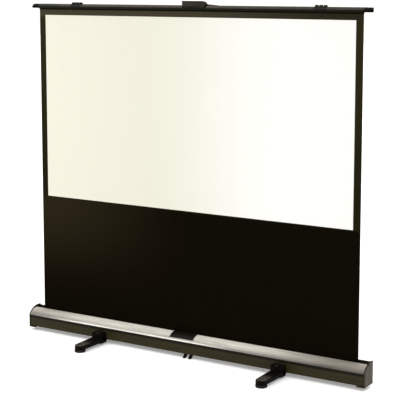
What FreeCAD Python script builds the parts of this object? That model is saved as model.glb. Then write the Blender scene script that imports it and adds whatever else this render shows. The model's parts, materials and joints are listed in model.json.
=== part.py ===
import FreeCAD, Part
import Sketcher
import math
import os
import re

# Floor-standing pull-up projection screen, raised.
# Millimetres, +Z up, the viewer stands at -Y, X runs along the case.
# The origin is on the floor under the middle of the case.

SIZES = (
    # Case: a long extrusion with a roller chamber in front and an arm trough behind.
    ("case_length", 1954.0),
    ("case_depth", 90.0),
    ("case_rise", 22.0),
    ("case_wall", 2.0),
    ("case_corner_radius", 4.0),
    ("front_wall_height", 62.0),
    ("groove_height", 6.0),
    ("groove_depth", 1.0),
    ("rear_wall_height", 97.0),
    ("partition_height", 89.0),
    ("partition_setback", 6.0),
    ("port_radius", 4.0),
    ("port_bore_radius", 1.7),
    ("port_inset", 3.5),
    ("port_lift", 46.0),
    # Curved cover over the roller chamber.
    ("slot_height", 92.0),
    ("slot_setback", 5.0),
    ("cover_ridge_height", 65.0),
    ("cover_wall", 2.0),
    ("cover_overhang", 1.5),
    ("cover_lip_drop", 1.0),
    ("cover_clip_drop", 9.0),
    ("cover_clip_wall", 1.5),
    ("cover_hem_drop", 6.0),
    # Felt strips beside the slot.
    ("seal_height", 5.0),
    ("seal_gap", 0.9),
    ("seal_spare", 10.0),
    # Moulded end caps.
    ("cap_wall", 6.0),
    ("cap_proud", 2.0),
    ("cap_drop", 6.5),
    ("cap_top_height", 103.0),
    ("cap_ridge_height", 65.5),
    ("cap_crown_setback", 17.0),
    ("cap_radius", 88.0),
    ("cap_corner_radius", 5.0),
    ("cap_edge_radius", 3.0),
    ("cap_notch_setback", 40.0),
    ("cap_notch_rise", 88.0),
    ("cap_notch_width", 16.0),
    ("cap_notch_height", 5.0),
    ("cap_notch_depth", 2.5),
    ("cap_boss_depth", 10.0),
    ("cap_boss_height", 66.0),
    ("cap_skid_length", 36.0),
    ("cap_skid_depth", 15.0),
    ("cap_skid_gap", 0.3),
    # Bare badge plate on the cover.
    ("badge_length", 138.0),
    ("badge_wall", 1.2),
    ("badge_offset", 16.0),
    ("badge_top_share", 0.05),
    ("badge_foot_share", 0.83),
    # Roller, its turns of fabric, its spring and its brackets.
    ("roller_rise", 30.0),
    ("roller_radius", 16.0),
    ("roller_wall", 1.5),
    ("roller_margin", 34.0),
    ("turns_thickness", 1.2),
    ("plug_depth", 20.0),
    ("plug_flange", 2.0),
    ("plug_flange_spare", 0.6),
    ("axle_radius", 4.0),
    ("bush_wall", 2.0),
    ("bush_length", 6.0),
    ("arbor_radius", 5.0),
    ("arbor_length", 400.0),
    ("arbor_flat", 7.0),
    ("anchor_length", 8.0),
    ("spring_radius", 12.0),
    ("spring_wire", 2.0),
    ("spring_length", 320.0),
    ("bearing_plate", 3.0),
    ("bearing_inset", 14.0),
    ("bearing_height", 50.0),
    ("bearing_port_gap", 8.8),
    ("bearing_rear_gap", 1.8),
    ("bearing_corner_radius", 14.0),
    ("bearing_foot", 22.0),
    # Fabric: black masking cloth with the white viewing surface on its front.
    ("fabric_setback", 32.0),
    ("fabric_margin", 54.0),
    ("fabric_thickness", 0.5),
    ("view_side_border", 37.5),
    ("view_top_border", 29.0),
    ("view_base", 733.0),
    ("view_coat", 0.2),
    # Top bar: a closed front chamber with a lid over the arms behind it.
    ("bar_margin", 52.0),
    ("bar_base", 1725.0),
    ("bar_height", 23.0),
    ("bar_lead", 11.0),
    ("bar_front_height", 10.0),
    ("bar_crown_run", 24.0),
    ("bar_chamber_depth", 20.5),
    ("bar_depth", 43.0),
    ("bar_wall", 2.0),
    ("bar_lip_lift", 2.0),
    ("batten_height", 6.0),
    ("batten_depth", 6.0),
    ("bar_cap_length", 42.0),
    ("bar_cap_lift", 1.0),
    ("bar_cap_corner_radius", 5.0),
    ("bar_cap_edge_radius", 4.0),
    ("bar_cap_spigot", 18.0),
    # Handle on the bar.
    ("handle_x", 33.0),
    ("handle_length", 128.0),
    ("handle_rise", 22.0),
    ("handle_front_step", 4.0),
    ("handle_depth", 32.0),
    ("handle_wall", 3.5),
    ("handle_floor", 1.5),
    ("handle_fall", 4.0),
    ("handle_edge_radius", 3.0),
    ("handle_slant", 16.0),
    ("tongue_length", 60.0),
    ("tongue_height", 6.0),
    ("tongue_tip", 1.2),
    # Ribbed clamps that hold the arms' top plates to the bar.
    ("clamp_length", 60.0),
    ("clamp_wall", 2.0),
    ("clamp_rib_width", 11.0),
    ("clamp_rib_pitch", 22.0),
    ("clamp_rib_lead", 5.0),
    ("clamp_rib_rise", 9.0),
    ("clamp_rib_radius", 6.5),
    ("clamp_depth", 30.0),
    # Crossed elbow arms behind the fabric.
    ("arm_link", 1600.0),
    ("arm_margin", 282.0),
    ("arm_shift", 11.0),
    ("arm_width", 22.0),
    ("arm_thickness", 7.0),
    ("arm_layer_gap", 1.4),
    ("arm_web", 1.4),
    ("arm_flange", 1.6),
    ("arm_solid_end", 30.0),
    ("base_pivot_rise", 57.0),
    ("bar_pivot_rise", 9.0),
    ("pivot_radius", 3.0),
    ("pivot_head_radius", 7.0),
    ("pivot_head", 1.6),
    ("pivot_shoulder_radius", 6.0),
    ("washer_radius", 8.0),
    ("arm_bracket_width", 44.0),
    ("arm_bracket_plate", 1.8),
    ("bracket_screw_spread", 26.0),
    ("bracket_screw_lift", 18.0),
    ("arm_plate_width", 60.0),
    ("arm_plate", 1.5),
    # Saddles under the case and the legs that swing on them.
    ("leg_margin", 453.0),
    ("leg_shift", 21.0),
    ("leg_reach", 228.0),
    ("leg_root_radius", 31.0),
    ("leg_tip_radius", 27.0),
    ("leg_height", 22.0),
    ("leg_edge_radius", 6.0),
    ("leg_wall", 4.0),
    ("leg_roof", 6.0),
    ("leg_pin_radius", 4.0),
    ("leg_pin_head", 2.5),
    ("leg_pin_head_radius", 8.0),
    ("leg_gap", 0.7),
    ("dimple_radius", 6.5),
    ("dimple_depth", 4.0),
    ("saddle_width", 64.0),
    ("saddle_wall", 3.0),
    ("saddle_height", 38.0),
    ("lug_nose", 18.0),
    ("lug_thickness", 5.0),
    ("lug_gap", 0.4),
    ("pad_radius", 28.0),
    ("pad_height", 15.0),
    ("pad_neck", 3.0),
    ("pad_bevel", 2.5),
    ("pad_screw_radius", 2.5),
    ("pad_screw_head_radius", 5.0),
    ("pad_screw_head", 3.0),
    ("pad_screw_bite", 8.0),
    # Centre foot: a plate with two prongs that slant forwards to the floor.
    ("prong_x", 16.0),
    ("prong_width", 14.0),
    ("prong_lead", 2.0),
    ("prong_thickness", 10.0),
    ("prong_root_setback", 17.0),
    ("prong_root_depth", 16.0),
    ("foot_shift", 20.0),
    ("foot_plate_width", 54.0),
    ("foot_plate_depth", 60.0),
    ("foot_plate", 3.0),
    # Screws.
    ("screw_radius", 2.0),
    ("screw_head_radius", 4.2),
    ("screw_head", 1.8),
    ("screw_length", 16.0),
    # Clearances and one overrun for cuts.
    ("fit_clearance", 0.05),
    ("seat_clearance", 0.3),
    ("side_clearance", 0.2),
    ("overrun", 5.0),
)

# Sizes that follow from the ones above.
FOLLOWING = (
    ("fabric_y", "case_depth / 2 - fabric_setback"),
    ("cover_span", "fabric_y - slot_setback + case_depth / 2 + cover_overhang"),
    ("cover_rise", "slot_height - cover_ridge_height"),
    ("cover_radius", "(cover_span^2 + cover_rise^2) / (2 * cover_rise)"),
    ("bearing_front_y", "case_wall + port_inset + port_radius + bearing_port_gap - case_depth / 2"),
    ("bearing_rear_y", "fabric_y + partition_setback - bearing_rear_gap"),
    ("bar_front_y", "fabric_y - bar_lead"),
    ("bar_crown_y", "bar_front_y + bar_crown_run"),
    ("clamp_rear_y", "bar_front_y + clamp_depth"),
    ("prong_front_y", "case_depth / 2 + prong_lead"),
    ("prong_rear_y", "prong_front_y - prong_thickness"),
    ("prong_root_y", "case_depth / 2 - prong_root_setback"),
)

doc = FreeCAD.newDocument("projection_screen")
dims = doc.addObject("Spreadsheet::Sheet", "dims")
for row, (alias, value) in enumerate(SIZES + FOLLOWING, start=1):
    dims.set("A%d" % row, alias.replace("_", " "))
    dims.set("B%d" % row, str(value) if row <= len(SIZES) else "=" + value)
    dims.setAlias("B%d" % row, alias)
doc.recompute()

ALIASES = {alias for alias, value in SIZES + FOLLOWING}
NODES = []


# Helpers: formulas, bodies, sketches and features

def linked(formula):
    """The formula as the document's objects write it, with each size read from the sheet."""
    words = re.compile(r"[a-z][a-z_]+")
    return words.sub(lambda found: "dims." + found.group() if found.group() in ALIASES else found.group(), formula)


def number(formula):
    return float(dims.evalExpression(formula))


def bind(thing, path, formula):
    thing.setExpression(path, linked(formula))


def node(thing, name):
    thing.Label = name
    NODES.append((name, thing))
    return thing


def place(thing, x="0", y="0", z="0", turn_axis=None, turn="0"):
    if turn_axis is not None:
        thing.Placement = FreeCAD.Placement(FreeCAD.Vector(), FreeCAD.Rotation(turn_axis, number(turn)))
        bind(thing, "Placement.Rotation.Angle", turn)
    bind(thing, "Placement.Base.x", x)
    bind(thing, "Placement.Base.y", y)
    bind(thing, "Placement.Base.z", z)


def body_named(name):
    return node(doc.addObject("PartDesign::Body", name), name)


def origin_item(body, role):
    return [item for item in body.Origin.OriginFeatures if item.Role == role][0]


def sketch_on(body, role, name, offset="0"):
    sketch = body.newObject("Sketcher::SketchObject", name)
    sketch.AttachmentSupport = [(origin_item(body, role), "")]
    sketch.MapMode = "FlatFace"
    if offset != "0":
        bind(sketch, "AttachmentOffset.Base.z", offset)
    return sketch


def corner(u, v, rounded=None, arc=None, hollow=False):
    """One corner of an outline, and the edge that leaves it: straight, or an arc of the given radius."""
    return {"u": u, "v": v, "rounded": rounded, "arc": arc, "hollow": hollow}


def hold(sketch, geometry, position, direction, formula):
    axis = -2 if direction == "DistanceX" else -1
    if formula == "0":
        sketch.addConstraint(Sketcher.Constraint("PointOnObject", geometry, position, axis))
        return
    rule = Sketcher.Constraint(direction, -1, 1, geometry, position, number(formula))
    bind(sketch, "Constraints[%d]" % sketch.addConstraint(rule), formula)


def hold_point(sketch, geometry, position, spot):
    hold(sketch, geometry, position, "DistanceX", spot["u"])
    hold(sketch, geometry, position, "DistanceY", spot["v"])


def hold_radius(sketch, geometry, formula):
    rule = Sketcher.Constraint("Radius", geometry, number(formula))
    bind(sketch, "Constraints[%d]" % sketch.addConstraint(rule), formula)


def spot_vector(spot):
    return FreeCAD.Vector(number(spot["u"]), number(spot["v"]), 0)


def arc_between(start, end, radius, hollow):
    """The arc from start to end that bulges to the right of its way, or to the left if hollow."""
    chord = end - start
    left = FreeCAD.Vector(-chord.y, chord.x, 0).normalize()
    side = -1 if hollow else 1
    reach = math.sqrt(max(radius * radius - chord.Length * chord.Length / 4, 0))
    centre = (start + end) / 2 + left * reach * side
    bulge = centre - left * radius * side
    return Part.Arc(end, bulge, start) if hollow else Part.Arc(start, bulge, end)


def outline(sketch, spots):
    """A closed outline, counter-clockwise, whose corners follow their formulas."""
    count = len(spots)
    vectors = [spot_vector(spot) for spot in spots]
    leave = []
    arrive = []
    for index, spot in enumerate(spots):
        before = vectors[index - 1]
        here = vectors[index]
        after = vectors[(index + 1) % count]
        back = (before - here).normalize()
        ahead = (after - here).normalize()
        if spot["rounded"]:
            half = back.getAngle(ahead) / 2
            trim = number(spot["rounded"]) * (1 / math.tan(half))
            arrive.append(here + back * trim)
            leave.append(here + ahead * trim)
        else:
            arrive.append(here)
            leave.append(here)
    edges = []
    for index, spot in enumerate(spots):
        start = leave[index]
        end = arrive[(index + 1) % count]
        if spot["arc"] == "semicircle":
            arc = arc_between(start, end, start.distanceToPoint(end) / 2, spot["hollow"])
            geometry = sketch.addGeometry(arc)
            kept = sketch.Geometry[geometry]
            forwards = kept.StartPoint.distanceToPoint(start) < kept.EndPoint.distanceToPoint(start)
            edges.append((geometry, 1 if forwards else 2, 2 if forwards else 1))
            sketch.addConstraint(Sketcher.Constraint("Symmetric", geometry, 1, geometry, 2, geometry, 3))
        elif spot["arc"]:
            arc = arc_between(start, end, number(spot["arc"]), spot["hollow"])
            geometry = sketch.addGeometry(arc)
            kept = sketch.Geometry[geometry]
            forwards = kept.StartPoint.distanceToPoint(start) < kept.EndPoint.distanceToPoint(start)
            edges.append((geometry, 1 if forwards else 2, 2 if forwards else 1))
            hold_radius(sketch, geometry, spot["arc"])
        else:
            edges.append((sketch.addGeometry(Part.LineSegment(start, end)), 1, 2))
    for index, spot in enumerate(spots):
        incoming, in_start, in_end = edges[index - 1]
        outgoing, out_start, out_end = edges[index]
        if not spot["rounded"]:
            sketch.addConstraint(Sketcher.Constraint("Coincident", incoming, in_end, outgoing, out_start))
            hold_point(sketch, outgoing, out_start, spot)
            continue
        virtual = sketch.addGeometry(Part.Point(vectors[index]), True)
        hold_point(sketch, virtual, 1, spot)
        sketch.addConstraint(Sketcher.Constraint("PointOnObject", virtual, 1, incoming))
        sketch.addConstraint(Sketcher.Constraint("PointOnObject", virtual, 1, outgoing))
        radius = number(spot["rounded"])
        turn_left = (vectors[index] - vectors[index - 1]).cross(leave[index] - vectors[index]).z > 0
        fillet = sketch.addGeometry(arc_between(arrive[index], leave[index], radius, not turn_left))
        kept = sketch.Geometry[fillet]
        forwards = kept.StartPoint.distanceToPoint(arrive[index]) < kept.EndPoint.distanceToPoint(arrive[index])
        first, last = (1, 2) if forwards else (2, 1)
        sketch.addConstraint(Sketcher.Constraint("Tangent", incoming, in_end, fillet, first))
        sketch.addConstraint(Sketcher.Constraint("Tangent", fillet, last, outgoing, out_start))
        hold_radius(sketch, fillet, spot["rounded"])
    return sketch


def circle(sketch, u, v, radius):
    ring = Part.Circle(FreeCAD.Vector(number(u), number(v), 0), FreeCAD.Vector(0, 0, 1), number(radius))
    geometry = sketch.addGeometry(ring)
    hold_point(sketch, geometry, 3, {"u": u, "v": v})
    hold_radius(sketch, geometry, radius)
    return sketch


def pad(body, sketch, name, length, both_ways=False, backwards=False):
    feature = body.newObject("PartDesign::Pad", name)
    feature.Profile = sketch
    feature.SideType = "Symmetric" if both_ways else "One side"
    feature.Reversed = backwards
    bind(feature, "Length", length)
    doc.recompute()
    return feature


def cut(body, sketch, name, length, both_ways=False, backwards=False):
    """A pocket, checked by volume, so that one that misses the solid is found."""
    before = body.Shape.Volume
    feature = body.newObject("PartDesign::Pocket", name)
    feature.Profile = sketch
    feature.SideType = "Symmetric" if both_ways else "One side"
    feature.Reversed = backwards
    bind(feature, "Length", length)
    doc.recompute()
    if not body.Shape.Volume < before:
        raise RuntimeError(name + " removes nothing")
    return feature


def turned(body, name, role, axis, spots):
    """A solid of revolution about one axis of its sketch."""
    sketch = outline(sketch_on(body, role, name + "_profile"), spots)
    feature = body.newObject("PartDesign::Revolution", name)
    feature.Profile = sketch
    feature.ReferenceAxis = (sketch, [axis])
    feature.Angle = 360
    doc.recompute()
    return feature


def edges_where(shape, test):
    return ["Edge%d" % (index + 1) for index, edge in enumerate(shape.Edges) if test(edge)]


def round_edges(body, name, radius, test):
    base = body.Tip
    feature = body.newObject("PartDesign::Fillet", name)
    feature.Base = (base, edges_where(base.Shape, test))
    bind(feature, "Radius", radius)
    doc.recompute()
    return feature


def rod(name, radius, length, x, y, z, axis):
    """A plain cylinder from a point along an axis."""
    solid = doc.addObject("Part::Cylinder", name)
    bind(solid, "Radius", radius)
    bind(solid, "Height", length)
    solid.Placement = FreeCAD.Placement(FreeCAD.Vector(), FreeCAD.Rotation(FreeCAD.Vector(0, 0, 1), axis))
    bind(solid, "Placement.Base.x", x)
    bind(solid, "Placement.Base.y", y)
    bind(solid, "Placement.Base.z", z)
    return solid


def fused(name, parts):
    solid = doc.addObject("Part::MultiFuse", name)
    solid.Shapes = parts
    return solid


def grouped(name, parts):
    group = doc.addObject("Part::Compound", name)
    group.Links = parts
    return node(group, name)


# Places that several pieces share, as formulas of the sizes

ROLLER_LENGTH = "(case_length - 2 * roller_margin)"
FABRIC_WIDTH = "(case_length - 2 * fabric_margin)"
VIEW_WIDTH = "(case_length - 2 * (fabric_margin + view_side_border))"
BAR_LENGTH = "(case_length - 2 * bar_margin)"
ARM_SPAN = "(case_length - 2 * arm_margin)"
LEFT_LEG_X = "(leg_shift + leg_margin - case_length / 2)"
RIGHT_LEG_X = "(leg_shift + case_length / 2 - leg_margin)"

FRONT = "(-case_depth / 2)"
REAR = "(case_depth / 2)"
FLOOR_TOP = "(case_rise + case_wall)"
PARTITION_FRONT = "(fabric_y + partition_setback)"
PARTITION_REAR = "(fabric_y + partition_setback + case_wall)"
TROUGH_REAR = "(case_depth / 2 - case_wall)"
WALL_TOP = "(case_rise + front_wall_height)"
SLOT_Z = "(case_rise + slot_height)"
SLOT_Y = "(fabric_y - slot_setback)"
COVER_FRONT = "(-case_depth / 2 - cover_overhang)"
COVER_CENTRE_Z = "(case_rise + slot_height - cover_radius)"
COVER_RIDGE_Z = "(case_rise + cover_ridge_height)"
COVER_INNER = "(cover_radius - cover_wall)"
ROLL_RADIUS = "(roller_radius + turns_thickness)"
ROLLER_Y = "(fabric_y - fabric_thickness / 2 - %s - seat_clearance)" % ROLL_RADIUS
ROLLER_Z = "(case_rise + roller_rise)"
BAR_TOP = "(bar_base + bar_height)"
BAR_BEND_Z = "(bar_base + bar_front_height)"
BAR_REAR = "(bar_front_y + bar_depth)"
BAR_CHAMBER_REAR = "(bar_front_y + bar_chamber_depth)"
BAR_ARC_RISE = "(bar_height - bar_front_height)"
BAR_ARC_RUN = "(bar_crown_y - bar_front_y)"
BAR_ARC = "((%s^2 + %s^2) / (2 * %s))" % (BAR_ARC_RUN, BAR_ARC_RISE, BAR_ARC_RISE)
BATTEN_BASE = "(bar_base - batten_height)"
TROUGH_MIDDLE = "((%s + %s) / 2)" % (PARTITION_REAR, TROUGH_REAR)
FRONT_LAYER = "(%s - arm_layer_gap / 2 - arm_thickness)" % TROUGH_MIDDLE
REAR_LAYER = "(%s + arm_layer_gap / 2)" % TROUGH_MIDDLE
BASE_PIVOT_Z = "(case_rise + base_pivot_rise)"
BAR_PIVOT_Z = "(bar_base + bar_pivot_rise)"
LEFT_PIVOT_X = "(arm_shift - %s / 2)" % ARM_SPAN
RIGHT_PIVOT_X = "(arm_shift + %s / 2)" % ARM_SPAN
ARM_RISE = "(%s - %s)" % (BAR_PIVOT_Z, BASE_PIVOT_Z)
ARM_ANGLE = "asin(%s / (2 * arm_link))" % ARM_RISE
ELBOW_OUT = "sqrt(arm_link^2 - %s^2 / 4)" % ARM_RISE
ELBOW_Z = "((%s + %s) / 2)" % (BASE_PIVOT_Z, BAR_PIVOT_Z)
LEG_PIN_Y = "(case_depth / 2 + saddle_wall + leg_gap + leg_root_radius)"
LEG_TOP = "(pad_height + leg_height)"
SADDLE_TOP = "(case_rise + saddle_height)"
ALONG_X = FreeCAD.Vector(1, 0, 0)
ALONG_Y = FreeCAD.Vector(0, 1, 0)
ALONG_Z = FreeCAD.Vector(0, 0, 1)


# Case extrusion

def case_body():
    body = body_named("case_body")
    sketch = outline(sketch_on(body, "YZ_Plane", "case_section"), [
        corner(FRONT, "case_rise", rounded="case_corner_radius"),
        corner(REAR, "case_rise", rounded="case_corner_radius"),
        corner(REAR, "case_rise + rear_wall_height"),
        corner(TROUGH_REAR, "case_rise + rear_wall_height"),
        corner(TROUGH_REAR, FLOOR_TOP),
        corner(PARTITION_REAR, FLOOR_TOP),
        corner(PARTITION_REAR, "case_rise + partition_height"),
        corner(PARTITION_FRONT, "case_rise + partition_height"),
        corner(PARTITION_FRONT, FLOOR_TOP),
        corner("-case_depth / 2 + case_wall", FLOOR_TOP),
        corner("-case_depth / 2 + case_wall", WALL_TOP),
        corner("-case_depth / 2 + groove_depth", WALL_TOP),
        corner("-case_depth / 2 + groove_depth", WALL_TOP + " - groove_height"),
        corner(FRONT, WALL_TOP + " - groove_height"),
    ])
    pad(body, sketch, "case_extrusion", "case_length", both_ways=True)
    ports = sketch_on(body, "YZ_Plane", "screw_port_section")
    for y, z in screw_port_places():
        circle(ports, y, z, "port_radius")
    pad(body, ports, "screw_ports", "case_length", both_ways=True)
    bores = sketch_on(body, "YZ_Plane", "screw_port_bore_section")
    for y, z in screw_port_places():
        circle(bores, y, z, "port_bore_radius")
    cut(body, bores, "screw_port_bores", "case_length + overrun", both_ways=True)


def screw_port_places():
    """The three ports for the end caps' screws: two on the front wall, one on the trough's floor."""
    front = "(-case_depth / 2 + case_wall + port_inset)"
    low = "(case_rise + case_wall + port_inset)"
    return ((front, low), (TROUGH_MIDDLE, low), (front, "(case_rise + port_lift)"))


# Curved cover that clips over the front wall

def front_cover():
    body = body_named("front_cover")
    inner_y = "(-case_depth / 2 + case_wall + seat_clearance)"
    clip_y = "(-case_depth / 2 + case_wall + seat_clearance + cover_clip_wall)"
    clip_reach = "(fabric_y - slot_setback - %s)" % clip_y
    clip_top = "(%s + sqrt(%s^2 - %s^2))" % (COVER_CENTRE_Z, COVER_INNER, clip_reach)
    hem_y = "(fabric_y - slot_setback - cover_clip_wall)"
    hem_z = "(%s + sqrt(%s^2 - cover_clip_wall^2))" % (COVER_CENTRE_Z, COVER_INNER)
    sketch = outline(sketch_on(body, "YZ_Plane", "cover_section"), [
        corner(COVER_FRONT, WALL_TOP + " - cover_lip_drop"),
        corner("-case_depth / 2 - seat_clearance", WALL_TOP + " - cover_lip_drop"),
        corner("-case_depth / 2 - seat_clearance", WALL_TOP),
        corner(inner_y, WALL_TOP),
        corner(inner_y, WALL_TOP + " - cover_clip_drop"),
        corner(clip_y, WALL_TOP + " - cover_clip_drop"),
        corner(clip_y, clip_top, arc=COVER_INNER, hollow=True),
        corner(hem_y, hem_z),
        corner(hem_y, SLOT_Z + " - cover_hem_drop"),
        corner(SLOT_Y, SLOT_Z + " - cover_hem_drop"),
        corner(SLOT_Y, SLOT_Z, arc="cover_radius"),
        corner(COVER_FRONT, COVER_RIDGE_Z),
    ])
    pad(body, sketch, "cover_extrusion", "case_length", both_ways=True)


def badge_plate():
    body = body_named("badge_plate")
    inner = "(cover_radius + side_clearance)"
    outer = "(cover_radius + side_clearance + badge_wall)"

    def on_arc(radius, share):
        angle = "(%s * asin(cover_span / cover_radius))" % share
        y = "(%s - %s * sin(%s))" % (SLOT_Y, radius, angle)
        z = "(%s + %s * cos(%s))" % (COVER_CENTRE_Z, radius, angle)
        return y, z

    inner_top = on_arc(inner, "badge_top_share")
    inner_foot = on_arc(inner, "badge_foot_share")
    outer_foot = on_arc(outer, "badge_foot_share")
    outer_top = on_arc(outer, "badge_top_share")
    sketch = outline(sketch_on(body, "YZ_Plane", "badge_section"), [
        corner(*outer_top, arc=outer),
        corner(*outer_foot),
        corner(*inner_foot, arc=inner, hollow=True),
        corner(*inner_top),
    ])
    pad(body, sketch, "badge_plate_pad", "badge_length", both_ways=True)
    place(body, x="-badge_offset")


def slot_seals():
    length = FABRIC_WIDTH + " + seal_spare"
    front_top = SLOT_Z + " - (cover_hem_drop - seal_height)"
    front = body_named("front_slot_seal")
    sketch = outline(sketch_on(front, "YZ_Plane", "front_seal_section"), [
        corner(SLOT_Y, front_top + " - seal_height"),
        corner("fabric_y - seal_gap", front_top + " - seal_height"),
        corner("fabric_y - seal_gap", front_top),
        corner(SLOT_Y, front_top),
    ])
    pad(front, sketch, "front_seal_pad", length, both_ways=True)
    rear_top = "case_rise + partition_height"
    rear = body_named("rear_slot_seal")
    sketch = outline(sketch_on(rear, "YZ_Plane", "rear_seal_section"), [
        corner("fabric_y + seal_gap", rear_top + " - seal_height"),
        corner(PARTITION_FRONT, rear_top + " - seal_height"),
        corner(PARTITION_FRONT, rear_top),
        corner("fabric_y + seal_gap", rear_top),
    ])
    pad(rear, sketch, "rear_seal_pad", length, both_ways=True)


# End caps

def end_cap(side, sign):
    """One moulded cap: its plate, two bosses that close the chambers, a skid and a shallow notch."""
    body = body_named("end_cap_" + side)
    front = "(-case_depth / 2 - cap_proud)"
    rear = "(case_depth / 2 + cap_proud)"
    low = "(case_rise - cap_drop)"
    top = "(case_rise + cap_top_height)"
    face = "%s case_length / 2" % sign
    outwards = sign == "-"
    sketch = outline(sketch_on(body, "YZ_Plane", side + "_cap_section", face), [
        corner(front, low, rounded="cap_corner_radius"),
        corner(rear, low, rounded="cap_corner_radius"),
        corner(rear, top, rounded="cap_corner_radius"),
        corner("case_depth / 2 + cap_proud - cap_crown_setback", top, arc="cap_radius"),
        corner(front, "case_rise + cap_ridge_height"),
    ])
    pad(body, sketch, side + "_cap_plate", "cap_wall", backwards=outwards)
    outer_x = number("case_length / 2 + cap_wall")
    round_edges(body, side + "_cap_rounding", "cap_edge_radius",
                lambda edge: all(abs(abs(point.X) - outer_x) < 1e-6 for point in edge.Vertexes))
    gap = "seat_clearance"
    boss_top = "case_rise + cap_boss_height"
    port_clear = "(port_inset + port_radius)"
    boss = sketch_on(body, "YZ_Plane", side + "_cap_boss_section", face)
    outline(boss, [
        corner("-case_depth / 2 + case_wall + %s + %s" % (port_clear, gap), FLOOR_TOP + " + " + gap),
        corner(PARTITION_FRONT + " - " + gap, FLOOR_TOP + " + " + gap),
        corner(PARTITION_FRONT + " - " + gap, boss_top),
        corner("-case_depth / 2 + case_wall + %s + %s" % (port_clear, gap), boss_top),
    ])
    boss_foot = "%s + %s + %s" % (FLOOR_TOP, port_clear, gap)
    outline(boss, [
        corner(PARTITION_REAR + " + " + gap, boss_foot),
        corner(TROUGH_REAR + " - " + gap, boss_foot),
        corner(TROUGH_REAR + " - " + gap, boss_top),
        corner(PARTITION_REAR + " + " + gap, boss_top),
    ])
    pad(body, boss, side + "_cap_bosses", "cap_boss_depth", backwards=not outwards)
    skid = outline(sketch_on(body, "YZ_Plane", side + "_cap_skid_section", face), [
        corner(front, low, rounded="cap_corner_radius"),
        corner("-case_depth / 2 - cap_proud + cap_skid_depth", low),
        corner("-case_depth / 2 - cap_proud + cap_skid_depth", "case_rise - cap_skid_gap"),
        corner(front, "case_rise - cap_skid_gap"),
    ])
    pad(body, skid, side + "_cap_skid", "cap_skid_length", backwards=not outwards)
    notch_front = "-case_depth / 2 - cap_proud + cap_notch_setback"
    notch_rear = notch_front + " + cap_notch_width"
    notch_low = "case_rise + cap_notch_rise"
    notch_top = notch_low + " + cap_notch_height"
    notch_round = "cap_notch_height / 3"
    notch = sketch_on(body, "YZ_Plane", side + "_cap_notch_section", "%s (case_length / 2 + cap_wall)" % sign)
    outline(notch, [
        corner(notch_front, notch_low, rounded=notch_round),
        corner(notch_rear, notch_low, rounded=notch_round),
        corner(notch_rear, notch_top, rounded=notch_round),
        corner(notch_front, notch_top, rounded=notch_round),
    ])
    cut(body, notch, side + "_cap_notch", "cap_notch_depth", backwards=outwards)
    seats = sketch_on(body, "YZ_Plane", side + "_cap_seat_section", "%s (case_length / 2 + cap_wall)" % sign)
    holes = sketch_on(body, "YZ_Plane", side + "_cap_hole_section", "%s (case_length / 2 + cap_wall)" % sign)
    for y, z in screw_port_places():
        circle(seats, y, z, "screw_head_radius + side_clearance")
        circle(holes, y, z, "screw_radius + side_clearance")
    cut(body, seats, side + "_cap_screw_seats", "screw_head + side_clearance", backwards=outwards)
    cut(body, holes, side + "_cap_screw_holes", "cap_wall + overrun", backwards=outwards)


# Roller chamber

def bearing_bracket(side, sign, bore):
    """The steel angle that carries one end of the roller."""
    body = body_named("roller_bracket_" + side)
    inner = "%s (case_length / 2 - bearing_inset - bearing_plate)" % sign
    outwards = sign == "-"
    top = FLOOR_TOP + " + bearing_height"
    plate = sketch_on(body, "YZ_Plane", side + "_bearing_section", inner)
    outline(plate, [
        corner("bearing_front_y", FLOOR_TOP),
        corner("bearing_rear_y", FLOOR_TOP),
        corner("bearing_rear_y", top, rounded="bearing_corner_radius"),
        corner("bearing_front_y", top, rounded="bearing_corner_radius"),
    ])
    pad(body, plate, side + "_bearing_plate", "bearing_plate", backwards=outwards)
    foot = outline(sketch_on(body, "YZ_Plane", side + "_bearing_foot_section", inner), [
        corner("bearing_front_y", FLOOR_TOP),
        corner("bearing_rear_y", FLOOR_TOP),
        corner("bearing_rear_y", FLOOR_TOP + " + bearing_plate"),
        corner("bearing_front_y", FLOOR_TOP + " + bearing_plate"),
    ])
    pad(body, foot, side + "_bearing_foot", "bearing_foot", backwards=not outwards)
    hole = sketch_on(body, "YZ_Plane", side + "_bearing_bore_section", inner)
    if side == "left":
        flat_half = "(arbor_flat / 2)"
        chord_half = "sqrt(%s^2 - %s^2)" % (bore, flat_half)
        outline(hole, [
            corner("%s + %s" % (ROLLER_Y, chord_half), "%s - %s" % (ROLLER_Z, flat_half), arc=bore),
            corner("%s + %s" % (ROLLER_Y, chord_half), "%s + %s" % (ROLLER_Z, flat_half)),
            corner("%s - %s" % (ROLLER_Y, chord_half), "%s + %s" % (ROLLER_Z, flat_half), arc=bore),
            corner("%s - %s" % (ROLLER_Y, chord_half), "%s - %s" % (ROLLER_Z, flat_half)),
        ])
    else:
        circle(hole, ROLLER_Y, ROLLER_Z, bore)
    cut(body, hole, side + "_bearing_bore", "bearing_plate * 3", both_ways=True)


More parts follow.
